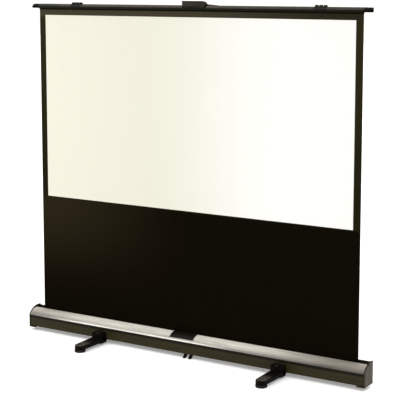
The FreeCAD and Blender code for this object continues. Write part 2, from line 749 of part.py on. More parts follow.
def roller_parts():
    """The tube, its plugs, the turns left on it, and the spring with its fixed arbor."""
    end = "(%s / 2)" % ROLLER_LENGTH
    bore = "(roller_radius - roller_wall)"
    tube = body_named("roller_tube")
    rings = circle(sketch_on(tube, "YZ_Plane", "tube_section"), "0", "0", "roller_radius")
    circle(rings, "0", "0", bore)
    pad(tube, rings, "tube_pad", ROLLER_LENGTH, both_ways=True)
    place(tube, y=ROLLER_Y, z=ROLLER_Z)
    turns = body_named("fabric_turns")
    rings = circle(sketch_on(turns, "YZ_Plane", "turns_section"), "0", "0", ROLL_RADIUS)
    circle(rings, "0", "0", "roller_radius")
    pad(turns, rings, "turns_pad", FABRIC_WIDTH, both_ways=True)
    place(turns, y=ROLLER_Y, z=ROLLER_Z)
    right = body_named("roller_plug_right")
    turned(right, "right_plug", "XY_Plane", "H_Axis", [
        corner("%s - plug_depth" % end, "0"),
        corner("case_length / 2 - bearing_inset + bush_length - bearing_plate", "0"),
        corner("case_length / 2 - bearing_inset + bush_length - bearing_plate", "axle_radius"),
        corner("%s + plug_flange" % end, "axle_radius"),
        corner("%s + plug_flange" % end, "roller_radius + plug_flange_spare"),
        corner(end, "roller_radius + plug_flange_spare"),
        corner(end, bore),
        corner("%s - plug_depth" % end, bore),
    ])
    place(right, y=ROLLER_Y, z=ROLLER_Z)
    left = body_named("roller_plug_left")
    arbor_bore = "arbor_radius + fit_clearance"
    turned(left, "left_plug", "XY_Plane", "H_Axis", [
        corner("-%s - plug_flange" % end, arbor_bore),
        corner("-%s + plug_depth" % end, arbor_bore),
        corner("-%s + plug_depth" % end, bore),
        corner("-" + end, bore),
        corner("-" + end, "roller_radius + plug_flange_spare"),
        corner("-%s - plug_flange" % end, "roller_radius + plug_flange_spare"),
    ])
    place(left, y=ROLLER_Y, z=ROLLER_Z)
    spring = body_named("torsion_spring")
    rings = circle(sketch_on(spring, "YZ_Plane", "spring_section", "-%s + plug_depth" % end), "0", "0", "spring_radius")
    circle(rings, "0", "0", "spring_radius - spring_wire")
    pad(spring, rings, "spring_pad", "spring_length")
    place(spring, y=ROLLER_Y, z=ROLLER_Z)
    bush = body_named("roller_bush")
    rings = circle(sketch_on(bush, "YZ_Plane", "bush_section", "case_length / 2 - bearing_inset - bearing_plate"),
                   "0", "0", "axle_radius + fit_clearance + bush_wall")
    circle(rings, "0", "0", "axle_radius + fit_clearance")
    pad(bush, rings, "bush_pad", "bush_length")
    place(bush, y=ROLLER_Y, z=ROLLER_Z)
    arbor = body_named("spring_arbor")
    outer = "-case_length / 2 + bearing_inset"
    rings = circle(sketch_on(arbor, "YZ_Plane", "arbor_section", outer), "0", "0", "arbor_radius")
    pad(arbor, rings, "arbor_pad", "arbor_length")
    flats = sketch_on(arbor, "YZ_Plane", "arbor_flat_section", "-case_length / 2 + bearing_inset")
    for low, high in (("arbor_flat / 2", "arbor_radius + overrun"), ("-arbor_radius - overrun", "-arbor_flat / 2")):
        outline(flats, [
            corner("-arbor_radius - overrun", low),
            corner("arbor_radius + overrun", low),
            corner("arbor_radius + overrun", high),
            corner("-arbor_radius - overrun", high),
        ])
    cut(arbor, flats, "arbor_flat_cut", "bearing_plate", backwards=True)
    place(arbor, y=ROLLER_Y, z=ROLLER_Z)
    anchor = body_named("spring_anchor")
    rings = circle(sketch_on(anchor, "YZ_Plane", "anchor_section",
                             "-%s + plug_depth + spring_length + seat_clearance" % end), "0", "0", "spring_radius")
    circle(rings, "0", "0", "arbor_radius")
    pad(anchor, rings, "anchor_pad", "anchor_length")
    place(anchor, y=ROLLER_Y, z=ROLLER_Z)


# Fabric

def fabric():
    """The masking cloth from the roller up to the batten, and the white coat on its front."""
    cloth = node(doc.addObject("Part::Box", "masking_fabric"), "masking_fabric")
    bind(cloth, "Length", FABRIC_WIDTH)
    bind(cloth, "Width", "fabric_thickness")
    bind(cloth, "Height", "%s - seat_clearance - %s" % (BATTEN_BASE, ROLLER_Z))
    place(cloth, "-%s / 2" % FABRIC_WIDTH, "fabric_y - fabric_thickness / 2", ROLLER_Z)
    coat = node(doc.addObject("Part::Box", "viewing_surface"), "viewing_surface")
    bind(coat, "Length", VIEW_WIDTH)
    bind(coat, "Width", "view_coat")
    bind(coat, "Height", "%s - view_top_border - view_base" % BATTEN_BASE)
    place(coat, "-%s / 2" % VIEW_WIDTH, "fabric_y - fabric_thickness / 2 - view_coat", "view_base")


# Top bar

def top_bar():
    body = body_named("top_bar")
    rear_inner = "(%s - bar_wall)" % BAR_REAR
    sketch = sketch_on(body, "YZ_Plane", "bar_section")
    outline(sketch, [
        corner("bar_front_y", "bar_base"),
        corner(BAR_CHAMBER_REAR, "bar_base"),
        corner(BAR_CHAMBER_REAR, BAR_TOP + " - bar_wall"),
        corner(rear_inner, BAR_TOP + " - bar_wall"),
        corner(rear_inner, "bar_base + bar_lip_lift"),
        corner(BAR_REAR, "bar_base + bar_lip_lift"),
        corner(BAR_REAR, BAR_TOP, rounded="bar_wall"),
        corner("bar_crown_y", BAR_TOP, arc=BAR_ARC),
        corner("bar_front_y", BAR_BEND_Z),
    ])
    pad(body, sketch, "bar_extrusion", BAR_LENGTH, both_ways=True)
    inner_arc = "(%s - bar_wall)" % BAR_ARC
    inner_front = "(bar_front_y + bar_wall)"
    inner_rear = "(%s - bar_wall)" % BAR_CHAMBER_REAR
    arc_centre_z = "(%s - %s)" % (BAR_TOP, BAR_ARC)

    def roof_at(y):
        return "(%s + sqrt(%s^2 - (bar_crown_y - %s)^2))" % (arc_centre_z, inner_arc, y)

    hollow = outline(sketch_on(body, "YZ_Plane", "bar_hollow_section"), [
        corner(inner_front, "bar_base + bar_wall"),
        corner(inner_rear, "bar_base + bar_wall"),
        corner(inner_rear, roof_at(inner_rear), arc=inner_arc),
        corner(inner_front, roof_at(inner_front)),
    ])
    cut(body, hollow, "bar_chamber", BAR_LENGTH + " + overrun", both_ways=True)
    batten = node(doc.addObject("Part::Box", "hem_batten"), "hem_batten")
    bind(batten, "Length", FABRIC_WIDTH)
    bind(batten, "Width", "batten_depth")
    bind(batten, "Height", "batten_height")
    place(batten, "-%s / 2" % FABRIC_WIDTH, "fabric_y - batten_depth / 2", BATTEN_BASE)


def bar_cap(side, sign):
    """The rounded black plug that closes one end of the bar's front chamber."""
    body = body_named("bar_cap_" + side)
    face = "%s %s / 2" % (sign, BAR_LENGTH)
    outwards = sign == "-"
    roof = "(%s - %s + sqrt(%s^2 - (bar_crown_y - %s)^2))" % (BAR_TOP, BAR_ARC, BAR_ARC, BAR_CHAMBER_REAR)
    sketch = outline(sketch_on(body, "YZ_Plane", side + "_bar_cap_section", face), [
        corner("bar_front_y", "bar_base + bar_cap_lift", rounded="bar_cap_corner_radius"),
        corner(BAR_CHAMBER_REAR, "bar_base + bar_cap_lift", rounded="bar_cap_corner_radius"),
        corner(BAR_CHAMBER_REAR, roof, arc=BAR_ARC),
        corner("bar_front_y", BAR_BEND_Z),
    ])
    pad(body, sketch, side + "_bar_cap_block", "bar_cap_length", backwards=outwards)
    outer_x = number(BAR_LENGTH + " / 2 + bar_cap_length")
    round_edges(body, side + "_bar_cap_rounding", "bar_cap_edge_radius",
                lambda edge: all(abs(abs(point.X) - outer_x) < 1e-6 for point in edge.Vertexes))
    gap = "seat_clearance"
    spigot_top = BAR_BEND_Z
    spigot = outline(sketch_on(body, "YZ_Plane", side + "_bar_cap_spigot_section", face), [
        corner("bar_front_y + bar_wall + " + gap, "bar_base + bar_wall + " + gap),
        corner("%s - bar_wall - %s" % (BAR_CHAMBER_REAR, gap), "bar_base + bar_wall + " + gap),
        corner("%s - bar_wall - %s" % (BAR_CHAMBER_REAR, gap), spigot_top),
        corner("bar_front_y + bar_wall + " + gap, spigot_top),
    ])
    pad(body, spigot, side + "_bar_cap_spigot", "bar_cap_spigot", backwards=not outwards)


def pull_handle():
    """A hooded grip on the bar, open behind for the fingers, with one slanted end and a low tongue there."""
    body = body_named("pull_handle")
    front = "(bar_front_y - handle_front_step)"
    rear = "(bar_front_y - handle_front_step + handle_depth)"
    crest = "(%s + handle_rise)" % BAR_TOP
    sketch = outline(sketch_on(body, "YZ_Plane", "handle_section"), [
        corner(front, BAR_BEND_Z),
        corner("bar_front_y", BAR_BEND_Z, arc=BAR_ARC, hollow=True),
        corner("bar_crown_y", BAR_TOP),
        corner(rear, BAR_TOP),
        corner(rear, crest + " - handle_fall"),
        corner(front, crest, rounded="handle_edge_radius"),
    ])
    pad(body, sketch, "handle_block", "handle_length", both_ways=True)
    hood = outline(sketch_on(body, "YZ_Plane", "finger_recess_section", "handle_wall - handle_length / 2"), [
        corner(front + " + handle_wall", BAR_TOP + " + handle_floor"),
        corner(rear + " + overrun", BAR_TOP + " + handle_floor"),
        corner(rear + " + overrun", crest + " - handle_fall - handle_wall"),
        corner(front + " + handle_wall", crest + " - handle_wall"),
    ])
    cut(body, hood, "finger_recess", "handle_length - 2 * handle_wall - handle_slant", backwards=True)
    slant = outline(sketch_on(body, "XZ_Plane", "handle_slant_section"), [
        corner("handle_length / 2 - handle_slant - overrun", crest + " + overrun"),
        corner("handle_length / 2 + overrun", crest + " - handle_slant - overrun"),
        corner("handle_length / 2 + overrun", crest + " + overrun"),
    ])
    cut(body, slant, "handle_slanted_end", "4 * handle_depth", both_ways=True)
    tongue = outline(sketch_on(body, "XZ_Plane", "tongue_section", "-" + rear), [
        corner("handle_length / 2", BAR_TOP),
        corner("handle_length / 2 + tongue_length", BAR_TOP),
        corner("handle_length / 2 + tongue_length", BAR_TOP + " + tongue_tip"),
        corner("handle_length / 2", BAR_TOP + " + tongue_height"),
    ])
    pad(body, tongue, "handle_tongue", "%s - bar_crown_y" % rear)
    place(body, x="handle_x")


def bar_clamp(side, pivot_x):
    """A ribbed saddle that grips the bar over the arms' top pivot."""
    body = body_named("bar_clamp_" + side)
    outer_arc = "(%s + clamp_wall)" % BAR_ARC
    saddle = outline(sketch_on(body, "YZ_Plane", side + "_clamp_section"), [
        corner("bar_front_y - clamp_wall", BAR_BEND_Z),
        corner("bar_front_y", BAR_BEND_Z, arc=BAR_ARC, hollow=True),
        corner("bar_crown_y", BAR_TOP),
        corner("clamp_rear_y", BAR_TOP),
        corner("clamp_rear_y", BAR_TOP + " + clamp_wall"),
        corner("bar_crown_y", BAR_TOP + " + clamp_wall", arc=outer_arc),
    ])
    pad(body, saddle, side + "_clamp_saddle", "clamp_length", both_ways=True)
    rib_front = "(bar_front_y + clamp_rib_lead)"
    seat_arc = "(%s + clamp_wall / 2)" % BAR_ARC
    seat_z = "(%s - %s + sqrt(%s^2 - (bar_crown_y - %s)^2))" % (BAR_TOP, BAR_ARC, seat_arc, rib_front)
    rib = outline(sketch_on(body, "YZ_Plane", side + "_clamp_rib_section", "-clamp_rib_pitch"), [
        corner(rib_front, seat_z, arc=seat_arc, hollow=True),
        corner("bar_crown_y", BAR_TOP + " + clamp_wall / 2"),
        corner("clamp_rear_y", BAR_TOP + " + clamp_wall / 2"),
        corner("clamp_rear_y", BAR_TOP + " + clamp_rib_rise", rounded="clamp_rib_radius"),
        corner("(bar_front_y + bar_crown_y) / 2", BAR_TOP + " + clamp_rib_rise", rounded="clamp_rib_radius"),
    ])
    first = pad(body, rib, side + "_clamp_rib", "clamp_rib_width", both_ways=True)
    row = body.newObject("PartDesign::LinearPattern", side + "_clamp_ribs")
    row.Originals = [first]
    row.Direction = (origin_item(body, "X_Axis"), [""])
    row.Occurrences = 3
    bind(row, "Length", "2 * clamp_rib_pitch")
    body.Tip = row
    place(body, x=pivot_x)


# Crossed elbow arms

def arm(name, x, z, turn, layer):
    """One channel-section link, drawn along X from its pivot and then turned about that pivot."""
    body = body_named(name)
    half = "arm_width / 2"
    sketch = outline(sketch_on(body, "XZ_Plane", name + "_plan", "-arm_thickness"), [
        corner("0", "-" + half),
        corner("arm_link", "-" + half, arc="semicircle"),
        corner("arm_link", half),
        corner("0", half, arc="semicircle"),
    ])
    pad(body, sketch, name + "_bar", "arm_thickness")
    channel = outline(sketch_on(body, "XZ_Plane", name + "_channel_plan", "0"), [
        corner("arm_solid_end", "-%s + arm_flange" % half),
        corner("arm_link - arm_solid_end", "-%s + arm_flange" % half),
        corner("arm_link - arm_solid_end", half + " - arm_flange"),
        corner("arm_solid_end", half + " - arm_flange"),
    ])
    cut(body, channel, name + "_channel", "arm_thickness - arm_web")
    bores = circle(sketch_on(body, "XZ_Plane", name + "_bore_plan", "0"), "0", "0", "pivot_radius + fit_clearance")
    circle(bores, "arm_link", "0", "pivot_radius + fit_clearance")
    cut(body, bores, name + "_bores", "3 * arm_thickness", both_ways=True)
    place(body, x, layer, z, ALONG_Y, turn)


def elbow(side, x):
    """The rivet through one elbow and the washer between its two links."""
    pin = body_named("elbow_pin_" + side)
    back = "(%s + arm_thickness + side_clearance)" % REAR_LAYER
    front = "(%s - side_clearance)" % FRONT_LAYER
    turned(pin, side + "_elbow_pin", "XY_Plane", "V_Axis", [
        corner("0", front + " - pivot_head"),
        corner("pivot_head_radius", front + " - pivot_head"),
        corner("pivot_head_radius", front),
        corner("pivot_radius", front),
        corner("pivot_radius", back),
        corner("pivot_head_radius", back),
        corner("pivot_head_radius", back + " + pivot_head"),
        corner("0", back + " + pivot_head"),
    ])
    place(pin, x, "0", ELBOW_Z)
    washer = body_named("elbow_washer_" + side)
    spare = "fit_clearance"
    front_face = "%s + arm_thickness + %s" % (FRONT_LAYER, spare)
    rear_face = "%s - %s" % (REAR_LAYER, spare)
    turned(washer, side + "_elbow_washer", "XY_Plane", "V_Axis", [
        corner("pivot_radius + fit_clearance", front_face),
        corner("washer_radius", front_face),
        corner("washer_radius", rear_face),
        corner("pivot_radius + fit_clearance", rear_face),
    ])
    place(washer, x, "0", ELBOW_Z)


def pivot_pin(name, x, z, head_y, way, shoulder_start, shoulder_end, tail_end):
    """A shouldered pin along Y: head, shank through the arm, shoulder to the plate, threaded tail."""
    pieces = [
        rod(name + "_head", "pivot_head_radius", "pivot_head", x, head_y, z, way),
        rod(name + "_shank", "pivot_radius", "abs(%s - (%s))" % (tail_end, head_y), x, head_y, z, way),
        rod(name + "_shoulder", "pivot_shoulder_radius", "abs(%s - (%s))" % (shoulder_end, shoulder_start),
            x, shoulder_start, z, way),
    ]
    return fused(name, pieces)


def arm_brackets_and_pins():
    """Angles on the case floor and plates in the bar, each beside its arm, with the shouldered pins."""
    plate_front = PARTITION_REAR
    plate_rear = "(%s - arm_bracket_plate)" % TROUGH_REAR
    for side, x, plate_y in (("left", LEFT_PIVOT_X, plate_rear), ("right", RIGHT_PIVOT_X, plate_front)):
        body = body_named("arm_bracket_" + side)
        half = "arm_bracket_width / 2"
        plate = outline(sketch_on(body, "XZ_Plane", side + "_arm_bracket_section", "-(%s)" % plate_y), [
            corner("-" + half, FLOOR_TOP),
            corner(half, FLOOR_TOP),
            corner(half, BASE_PIVOT_Z + " + arm_width / 2", rounded=half + " - overrun"),
            corner("-" + half, BASE_PIVOT_Z + " + arm_width / 2", rounded=half + " - overrun"),
        ])
        pad(body, plate, side + "_arm_bracket_plate", "arm_bracket_plate", backwards=True)
        bores = circle(sketch_on(body, "XZ_Plane", side + "_arm_bracket_bore_section", "-(%s)" % plate_y),
                       "0", BASE_PIVOT_Z, "pivot_radius + fit_clearance")
        for way in ("-", ""):
            circle(bores, way + "bracket_screw_spread / 2", FLOOR_TOP + " + bracket_screw_lift", "screw_radius")
        cut(body, bores, side + "_arm_bracket_bores", "3 * arm_bracket_plate", both_ways=True)
        place(body, x=x)
    front_face = "(%s - side_clearance)" % FRONT_LAYER
    rear_face = "(%s + arm_thickness + side_clearance)" % REAR_LAYER
    after_front_arm = "(%s + arm_thickness + side_clearance)" % FRONT_LAYER
    before_rear_arm = "(%s - side_clearance)" % REAR_LAYER
    grouped("base_pivot_pins", [
        pivot_pin("left_base_pin", LEFT_PIVOT_X, BASE_PIVOT_Z, front_face + " - pivot_head", ALONG_Y,
                  after_front_arm, plate_rear, plate_rear + " + arm_bracket_plate"),
        pivot_pin("right_base_pin", RIGHT_PIVOT_X, BASE_PIVOT_Z, rear_face + " + pivot_head", -ALONG_Y,
                  before_rear_arm, plate_front + " + arm_bracket_plate", plate_front),
    ])
    top_front = BAR_CHAMBER_REAR
    top_rear = "(%s - bar_wall - arm_plate)" % BAR_REAR
    for side, x, plate_y in (("left", LEFT_PIVOT_X, top_front), ("right", RIGHT_PIVOT_X, top_rear)):
        body = body_named("arm_plate_" + side)
        half = "arm_plate_width / 2"
        plate = outline(sketch_on(body, "XZ_Plane", side + "_arm_plate_section", "-(%s)" % plate_y), [
            corner("-" + half, "bar_base + bar_lip_lift", rounded="bar_lip_lift"),
            corner(half, "bar_base + bar_lip_lift", rounded="bar_lip_lift"),
            corner(half, BAR_TOP + " - bar_wall"),
            corner("-" + half, BAR_TOP + " - bar_wall"),
        ])
        pad(body, plate, side + "_arm_plate_pad", "arm_plate", backwards=True)
        bore = circle(sketch_on(body, "XZ_Plane", side + "_arm_plate_bore_section", "-(%s)" % plate_y),
                      "0", BAR_PIVOT_Z, "pivot_radius + fit_clearance")
        cut(body, bore, side + "_arm_plate_bore", "3 * arm_plate", both_ways=True)
        place(body, x=x)
    grouped("bar_pivot_pins", [
        pivot_pin("left_bar_pin", LEFT_PIVOT_X, BAR_PIVOT_Z, rear_face + " + pivot_head", -ALONG_Y,
                  before_rear_arm, top_front + " + arm_plate", top_front),
        pivot_pin("right_bar_pin", RIGHT_PIVOT_X, BAR_PIVOT_Z, front_face + " - pivot_head", ALONG_Y,
                  after_front_arm, top_rear, top_rear + " + arm_plate"),
    ])


# Saddles, legs and pads

def saddle(side, x):
    """The bracket that wraps the case from below and carries a front and a rear leg."""
    body = body_named("saddle_" + side)
    half = "saddle_width / 2"
    wrap_low = "(pad_height - lug_gap - lug_thickness)"
    outer = "(case_depth / 2 + saddle_wall)"
    section = outline(sketch_on(body, "YZ_Plane", side + "_saddle_section"), [
        corner("-" + outer, wrap_low),
        corner(FRONT, wrap_low),
        corner(FRONT, "case_rise - saddle_wall"),
        corner(REAR, "case_rise - saddle_wall"),
        corner(REAR, wrap_low),
        corner(outer, wrap_low),
        corner(outer, SADDLE_TOP),
        corner(REAR, SADDLE_TOP),
        corner(REAR, "case_rise"),
        corner(FRONT, "case_rise"),
        corner(FRONT, SADDLE_TOP),
        corner("-" + outer, SADDLE_TOP),
    ])
    pad(body, section, side + "_saddle_wrap", "saddle_width", both_ways=True)
    levels = (("lower", wrap_low, "lug_thickness"),
              ("upper", LEG_TOP + " + lug_gap", "%s - %s - lug_gap" % (SADDLE_TOP, LEG_TOP)))
    for level, base, thickness in levels:
        lugs = sketch_on(body, "XY_Plane", "%s_%s_lug_plan" % (side, level), base)
        for end in ("-", ""):
            root = "%s(case_depth / 2 + saddle_wall / 2)" % end
            nose = "%s(%s + lug_nose)" % (end, LEG_PIN_Y)
            spots = [
                corner("-" + half, root),
                corner(half, root),
                corner(half, nose, rounded="lug_nose"),
                corner("-" + half, nose, rounded="lug_nose"),
            ]
            outline(lugs, spots if end == "" else spots[::-1])
        pad(body, lugs, "%s_%s_lugs" % (side, level), thickness)
    bores = circle(sketch_on(body, "XY_Plane", side + "_lug_bore_plan"), "0", LEG_PIN_Y,
                   "leg_pin_radius + fit_clearance")
    circle(bores, "0", "-" + LEG_PIN_Y, "leg_pin_radius + fit_clearance")
    cut(body, bores, side + "_lug_bores", SADDLE_TOP + " + overrun", backwards=True)
    place(body, x=x)


def leg(name, x, end):
    """One leg, drawn from its pin towards +Y and turned about the upright to its side of the case."""
    body = body_named(name + "_leg")
    run = "(leg_reach - %s)" % LEG_PIN_Y
    sine = "((leg_root_radius - leg_tip_radius) / %s)" % run
    cosine = "sqrt(1 - %s^2)" % sine
    root_u = "(leg_root_radius * %s)" % cosine
    root_v = "(leg_root_radius * %s)" % sine
    tip_u = "(leg_tip_radius * %s)" % cosine
    tip_v = "(%s + leg_tip_radius * %s)" % (run, sine)
    plan = sketch_on(body, "XY_Plane", name + "_leg_plan", "pad_height")
    outline(plan, [
        corner(root_u, root_v),
        corner(tip_u, tip_v, arc="leg_tip_radius"),
        corner("-" + tip_u, tip_v),
        corner("-" + root_u, root_v, arc="leg_root_radius"),
    ])
    pad(body, plan, name + "_leg_block", "leg_height")
    top = number(LEG_TOP)
    round_edges(body, name + "_leg_rounding", "leg_edge_radius",
                lambda edge: all(abs(point.Z - top) < 1e-6 for point in edge.Vertexes))
    root_boss = "(leg_pin_head_radius + leg_wall)"
    tip_boss = "(dimple_radius + leg_wall)"
    hollow = outline(sketch_on(body, "XY_Plane", name + "_leg_hollow_plan", "pad_height"), [
        corner("-leg_root_radius + leg_wall + leg_edge_radius / 2", root_boss, rounded="leg_wall"),
        corner("leg_root_radius - leg_wall - leg_edge_radius / 2", root_boss, rounded="leg_wall"),
        corner("leg_tip_radius - leg_wall - leg_edge_radius / 2", "%s - %s" % (run, tip_boss), rounded="leg_wall"),
        corner("-leg_tip_radius + leg_wall + leg_edge_radius / 2", "%s - %s" % (run, tip_boss), rounded="leg_wall"),
    ])
    cut(body, hollow, name + "_leg_hollow", "leg_height - leg_roof", backwards=True)
    bores = circle(sketch_on(body, "XY_Plane", name + "_leg_bore_plan"), "0", "0", "leg_pin_radius + fit_clearance")
    circle(bores, "0", run, "pad_screw_radius + side_clearance")
    cut(body, bores, name + "_leg_bores", LEG_TOP + " + overrun", backwards=True)
    dimple = circle(sketch_on(body, "XY_Plane", name + "_dimple_plan", LEG_TOP), "0", run, "dimple_radius")
    cut(body, dimple, name + "_dimple", "dimple_depth")
    place(body, x, end + LEG_PIN_Y, "0", ALONG_Z, "0" if end == "" else "180")
    pad_y = end + "leg_reach"
    foot = body_named(name + "_pad")
    turned(foot, name + "_pad_disc", "XZ_Plane", "V_Axis", [
        corner("pad_screw_radius + fit_clearance", "pad_height - pad_screw_bite"),
        corner("pad_screw_radius + fit_clearance", "pad_height"),
        corner("leg_tip_radius - pad_neck", "pad_height"),
        corner("leg_tip_radius - pad_neck", "pad_height - pad_neck"),
        corner("pad_radius - pad_bevel / 2", "pad_height - pad_neck"),
        corner("pad_radius", "pad_height - pad_neck - pad_bevel / 2"),
        corner("pad_radius", "pad_bevel"),
        corner("pad_radius - pad_bevel", "0"),
        corner("0", "0"),
        corner("0", "pad_height - pad_screw_bite"),
    ][::-1])
    place(foot, x, pad_y, "0")
    seat = LEG_TOP + " - dimple_depth"
    screw = fused(name + "_pad_screw_solid", [
        rod(name + "_pad_screw_head", "pad_screw_head_radius", "pad_screw_head", x, pad_y, seat, ALONG_Z),
        rod(name + "_pad_screw_shank", "pad_screw_radius", "%s - pad_height + pad_screw_bite" % seat,
            x, pad_y, "pad_height - pad_screw_bite", ALONG_Z),
    ])
    node(screw, name + "_pad_screw")


def leg_pins():
    """Four upright pins through the lugs and the legs' roots."""
    pins = []
    low = "(pad_height - lug_gap - lug_thickness)"
    for side, x in (("left", LEFT_LEG_X), ("right", RIGHT_LEG_X)):
        for name, end in (("front", "-"), ("rear", "")):
            stem = "%s_%s_leg_pin" % (name, side)
            y = end + LEG_PIN_Y
            pins.append(fused(stem, [
                rod(stem + "_shank", "leg_pin_radius", "%s - %s" % (SADDLE_TOP, low), x, y, low, ALONG_Z),
                rod(stem + "_head", "leg_pin_head_radius", "leg_pin_head", x, y, SADDLE_TOP, ALONG_Z),
                rod(stem + "_nut", "leg_pin_head_radius", "leg_pin_head", x, y, low + " - leg_pin_head", ALONG_Z),
            ]))
    grouped("leg_pins", pins)


def centre_foot():
    """A plate under the middle of the case with two prongs that slant forwards to the floor."""
    body = body_named("centre_foot")
    top = "case_rise"
    low = "(case_rise - foot_plate)"
    plate = outline(sketch_on(body, "XY_Plane", "foot_plate_plan", low), [
        corner("-foot_plate_width / 2", "-foot_plate_depth / 2", rounded="case_corner_radius"),
        corner("foot_plate_width / 2", "-foot_plate_depth / 2", rounded="case_corner_radius"),
        corner("foot_plate_width / 2", "foot_plate_depth / 2", rounded="case_corner_radius"),
        corner("-foot_plate_width / 2", "foot_plate_depth / 2", rounded="case_corner_radius"),
    ])
    pad(body, plate, "foot_plate_pad", "foot_plate")
    prong = outline(sketch_on(body, "YZ_Plane", "prong_section", "prong_x"), [
        corner("-prong_front_y", "0"),
        corner("-prong_rear_y", "0"),
        corner("-prong_root_y + prong_root_depth", low),
        corner("-prong_root_y + prong_root_depth", top),
        corner("-prong_root_y", top),
    ])
    first = pad(body, prong, "prong", "prong_width", both_ways=True)
    pair = body.newObject("PartDesign::Mirrored", "prongs")
    pair.Originals = [first]
    pair.MirrorPlane = (origin_item(body, "YZ_Plane"), [""])
    body.Tip = pair
    place(body, x="foot_shift")


# Screws

def case_screws():
    """The end caps' screws, three to a cap, in the ports of the extrusion."""
    screws = []
    for side, sign, way in (("left", "-", ALONG_X), ("right", "", -ALONG_X)):
        face = "%s(case_length / 2 + cap_wall - screw_head)" % sign
        outer = "%s(case_length / 2 + cap_wall)" % sign
        for index, (y, z) in enumerate(screw_port_places()):
            stem = "%s_cap_screw_%d" % (side, index)
            screws.append(fused(stem, [
                rod(stem + "_head", "screw_head_radius", "screw_head", outer, y, z, way),
                rod(stem + "_shank", "port_bore_radius", "screw_length", face, y, z, way),
            ]))
    grouped("end_cap_screws", screws)


case_body()
front_cover()
badge_plate()
slot_seals()
end_cap("left", "-")
end_cap("right", "")
bearing_bracket("left", "-", "arbor_radius")
bearing_bracket("right", "", "axle_radius + fit_clearance + bush_wall")
roller_parts()
fabric()
top_bar()
bar_cap("left", "-")
bar_cap("right", "")
pull_handle()
bar_clamp("left", LEFT_PIVOT_X)
bar_clamp("right", RIGHT_PIVOT_X)
arm("lower_arm_left", LEFT_PIVOT_X, BASE_PIVOT_Z, "-" + ARM_ANGLE, FRONT_LAYER)
arm("upper_arm_left", LEFT_PIVOT_X, BAR_PIVOT_Z, ARM_ANGLE, REAR_LAYER)
arm("lower_arm_right", RIGHT_PIVOT_X, BASE_PIVOT_Z, "%s - 180 deg" % ARM_ANGLE, REAR_LAYER)
arm("upper_arm_right", RIGHT_PIVOT_X, BAR_PIVOT_Z, "180 deg - %s" % ARM_ANGLE, FRONT_LAYER)
elbow("left", "%s + %s" % (LEFT_PIVOT_X, ELBOW_OUT))
elbow("right", "%s - %s" % (RIGHT_PIVOT_X, ELBOW_OUT))
arm_brackets_and_pins()
saddle("left", LEFT_LEG_X)
saddle("right", RIGHT_LEG_X)
leg("front_left", LEFT_LEG_X, "-")
leg("front_right", RIGHT_LEG_X, "-")
leg("rear_left", LEFT_LEG_X, "")
leg("rear_right", RIGHT_LEG_X, "")
leg_pins()
centre_foot()
case_screws()
doc.recompute()

# Every object is sound before anything is written
for item in doc.Objects:
    if "Invalid" in item.State or "Error" in item.State:
        raise RuntimeError("%s failed: %s" % (item.Label, item.State))
for name, thing in NODES:
    if thing.Shape.isNull() or not thing.Shape.isValid() or not thing.Shape.Solids:
        raise RuntimeError(name + " has no sound solid")

os.makedirs("parts", exist_ok=True)
for name, thing in NODES:
    thing.Shape.exportStep("parts/%s.step" % name)
print("%d nodes, %d solids" % (len(NODES), sum(len(thing.Shape.Solids) for name, thing in NODES)))
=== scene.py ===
import json
import math
import bmesh
import bpy
from bpy.props import FloatProperty, FloatVectorProperty, IntProperty, PointerProperty
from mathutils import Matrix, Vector


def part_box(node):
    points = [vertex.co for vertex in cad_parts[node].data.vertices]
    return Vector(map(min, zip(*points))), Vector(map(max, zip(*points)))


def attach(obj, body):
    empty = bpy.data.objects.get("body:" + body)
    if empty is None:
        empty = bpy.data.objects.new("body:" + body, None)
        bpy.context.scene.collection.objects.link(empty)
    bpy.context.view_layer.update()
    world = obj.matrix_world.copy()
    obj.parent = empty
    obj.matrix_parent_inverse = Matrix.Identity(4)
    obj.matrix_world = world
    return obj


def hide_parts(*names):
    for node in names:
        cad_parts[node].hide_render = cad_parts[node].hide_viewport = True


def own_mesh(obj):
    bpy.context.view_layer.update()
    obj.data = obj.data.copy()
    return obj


# Looks of a floor-standing pull-up projection screen: cloths, finishes, screws, pads and the studio.
# Metres, +Z up, the viewer stands at -Y, and the floor is at zero.

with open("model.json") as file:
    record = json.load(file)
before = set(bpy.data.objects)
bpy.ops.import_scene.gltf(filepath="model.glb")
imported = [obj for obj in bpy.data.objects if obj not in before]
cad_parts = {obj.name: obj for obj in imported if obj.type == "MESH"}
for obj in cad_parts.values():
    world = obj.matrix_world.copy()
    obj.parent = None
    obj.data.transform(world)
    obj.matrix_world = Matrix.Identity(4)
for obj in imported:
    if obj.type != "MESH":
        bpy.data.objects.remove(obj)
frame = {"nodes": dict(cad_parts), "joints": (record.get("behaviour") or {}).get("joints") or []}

bl_info = {
    "name": "Floor-Standing Projection Screen",
    "version": (1, 0, 0),
    "blender": (4, 5, 0),
    "location": "3D View > Sidebar > Screen",
    "description": "Dresses the packed screen in cloth, paint and plastic, and lights it",
    "category": "Add Mesh",
}

# Places read from the frame

PIVOTS = {joint["name"]: Vector(joint["pos_m"]) for joint in frame["joints"]}
COVER_LOW, COVER_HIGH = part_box("front_cover")
CLOTH_LOW, CLOTH_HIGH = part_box("masking_fabric")
VIEW_LOW, VIEW_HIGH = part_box("viewing_surface")
GRIP_LOW, GRIP_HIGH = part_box("pull_handle")
BAR_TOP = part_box("top_bar")[1].z
CAP_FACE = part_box("end_cap_right")[1].x

# Small sizes that only this scene needs

CAP_HEAD_RADIUS = 0.0042
CAP_HEAD = 0.0018
CAP_SHANK_RADIUS = 0.0019
CAP_SHANK = 0.014
PAD_SCREW_HEAD = 0.003
SAME_FACE = 1e-5
HEM_TUCK = 0.0015

# Counts and shares of the meshes

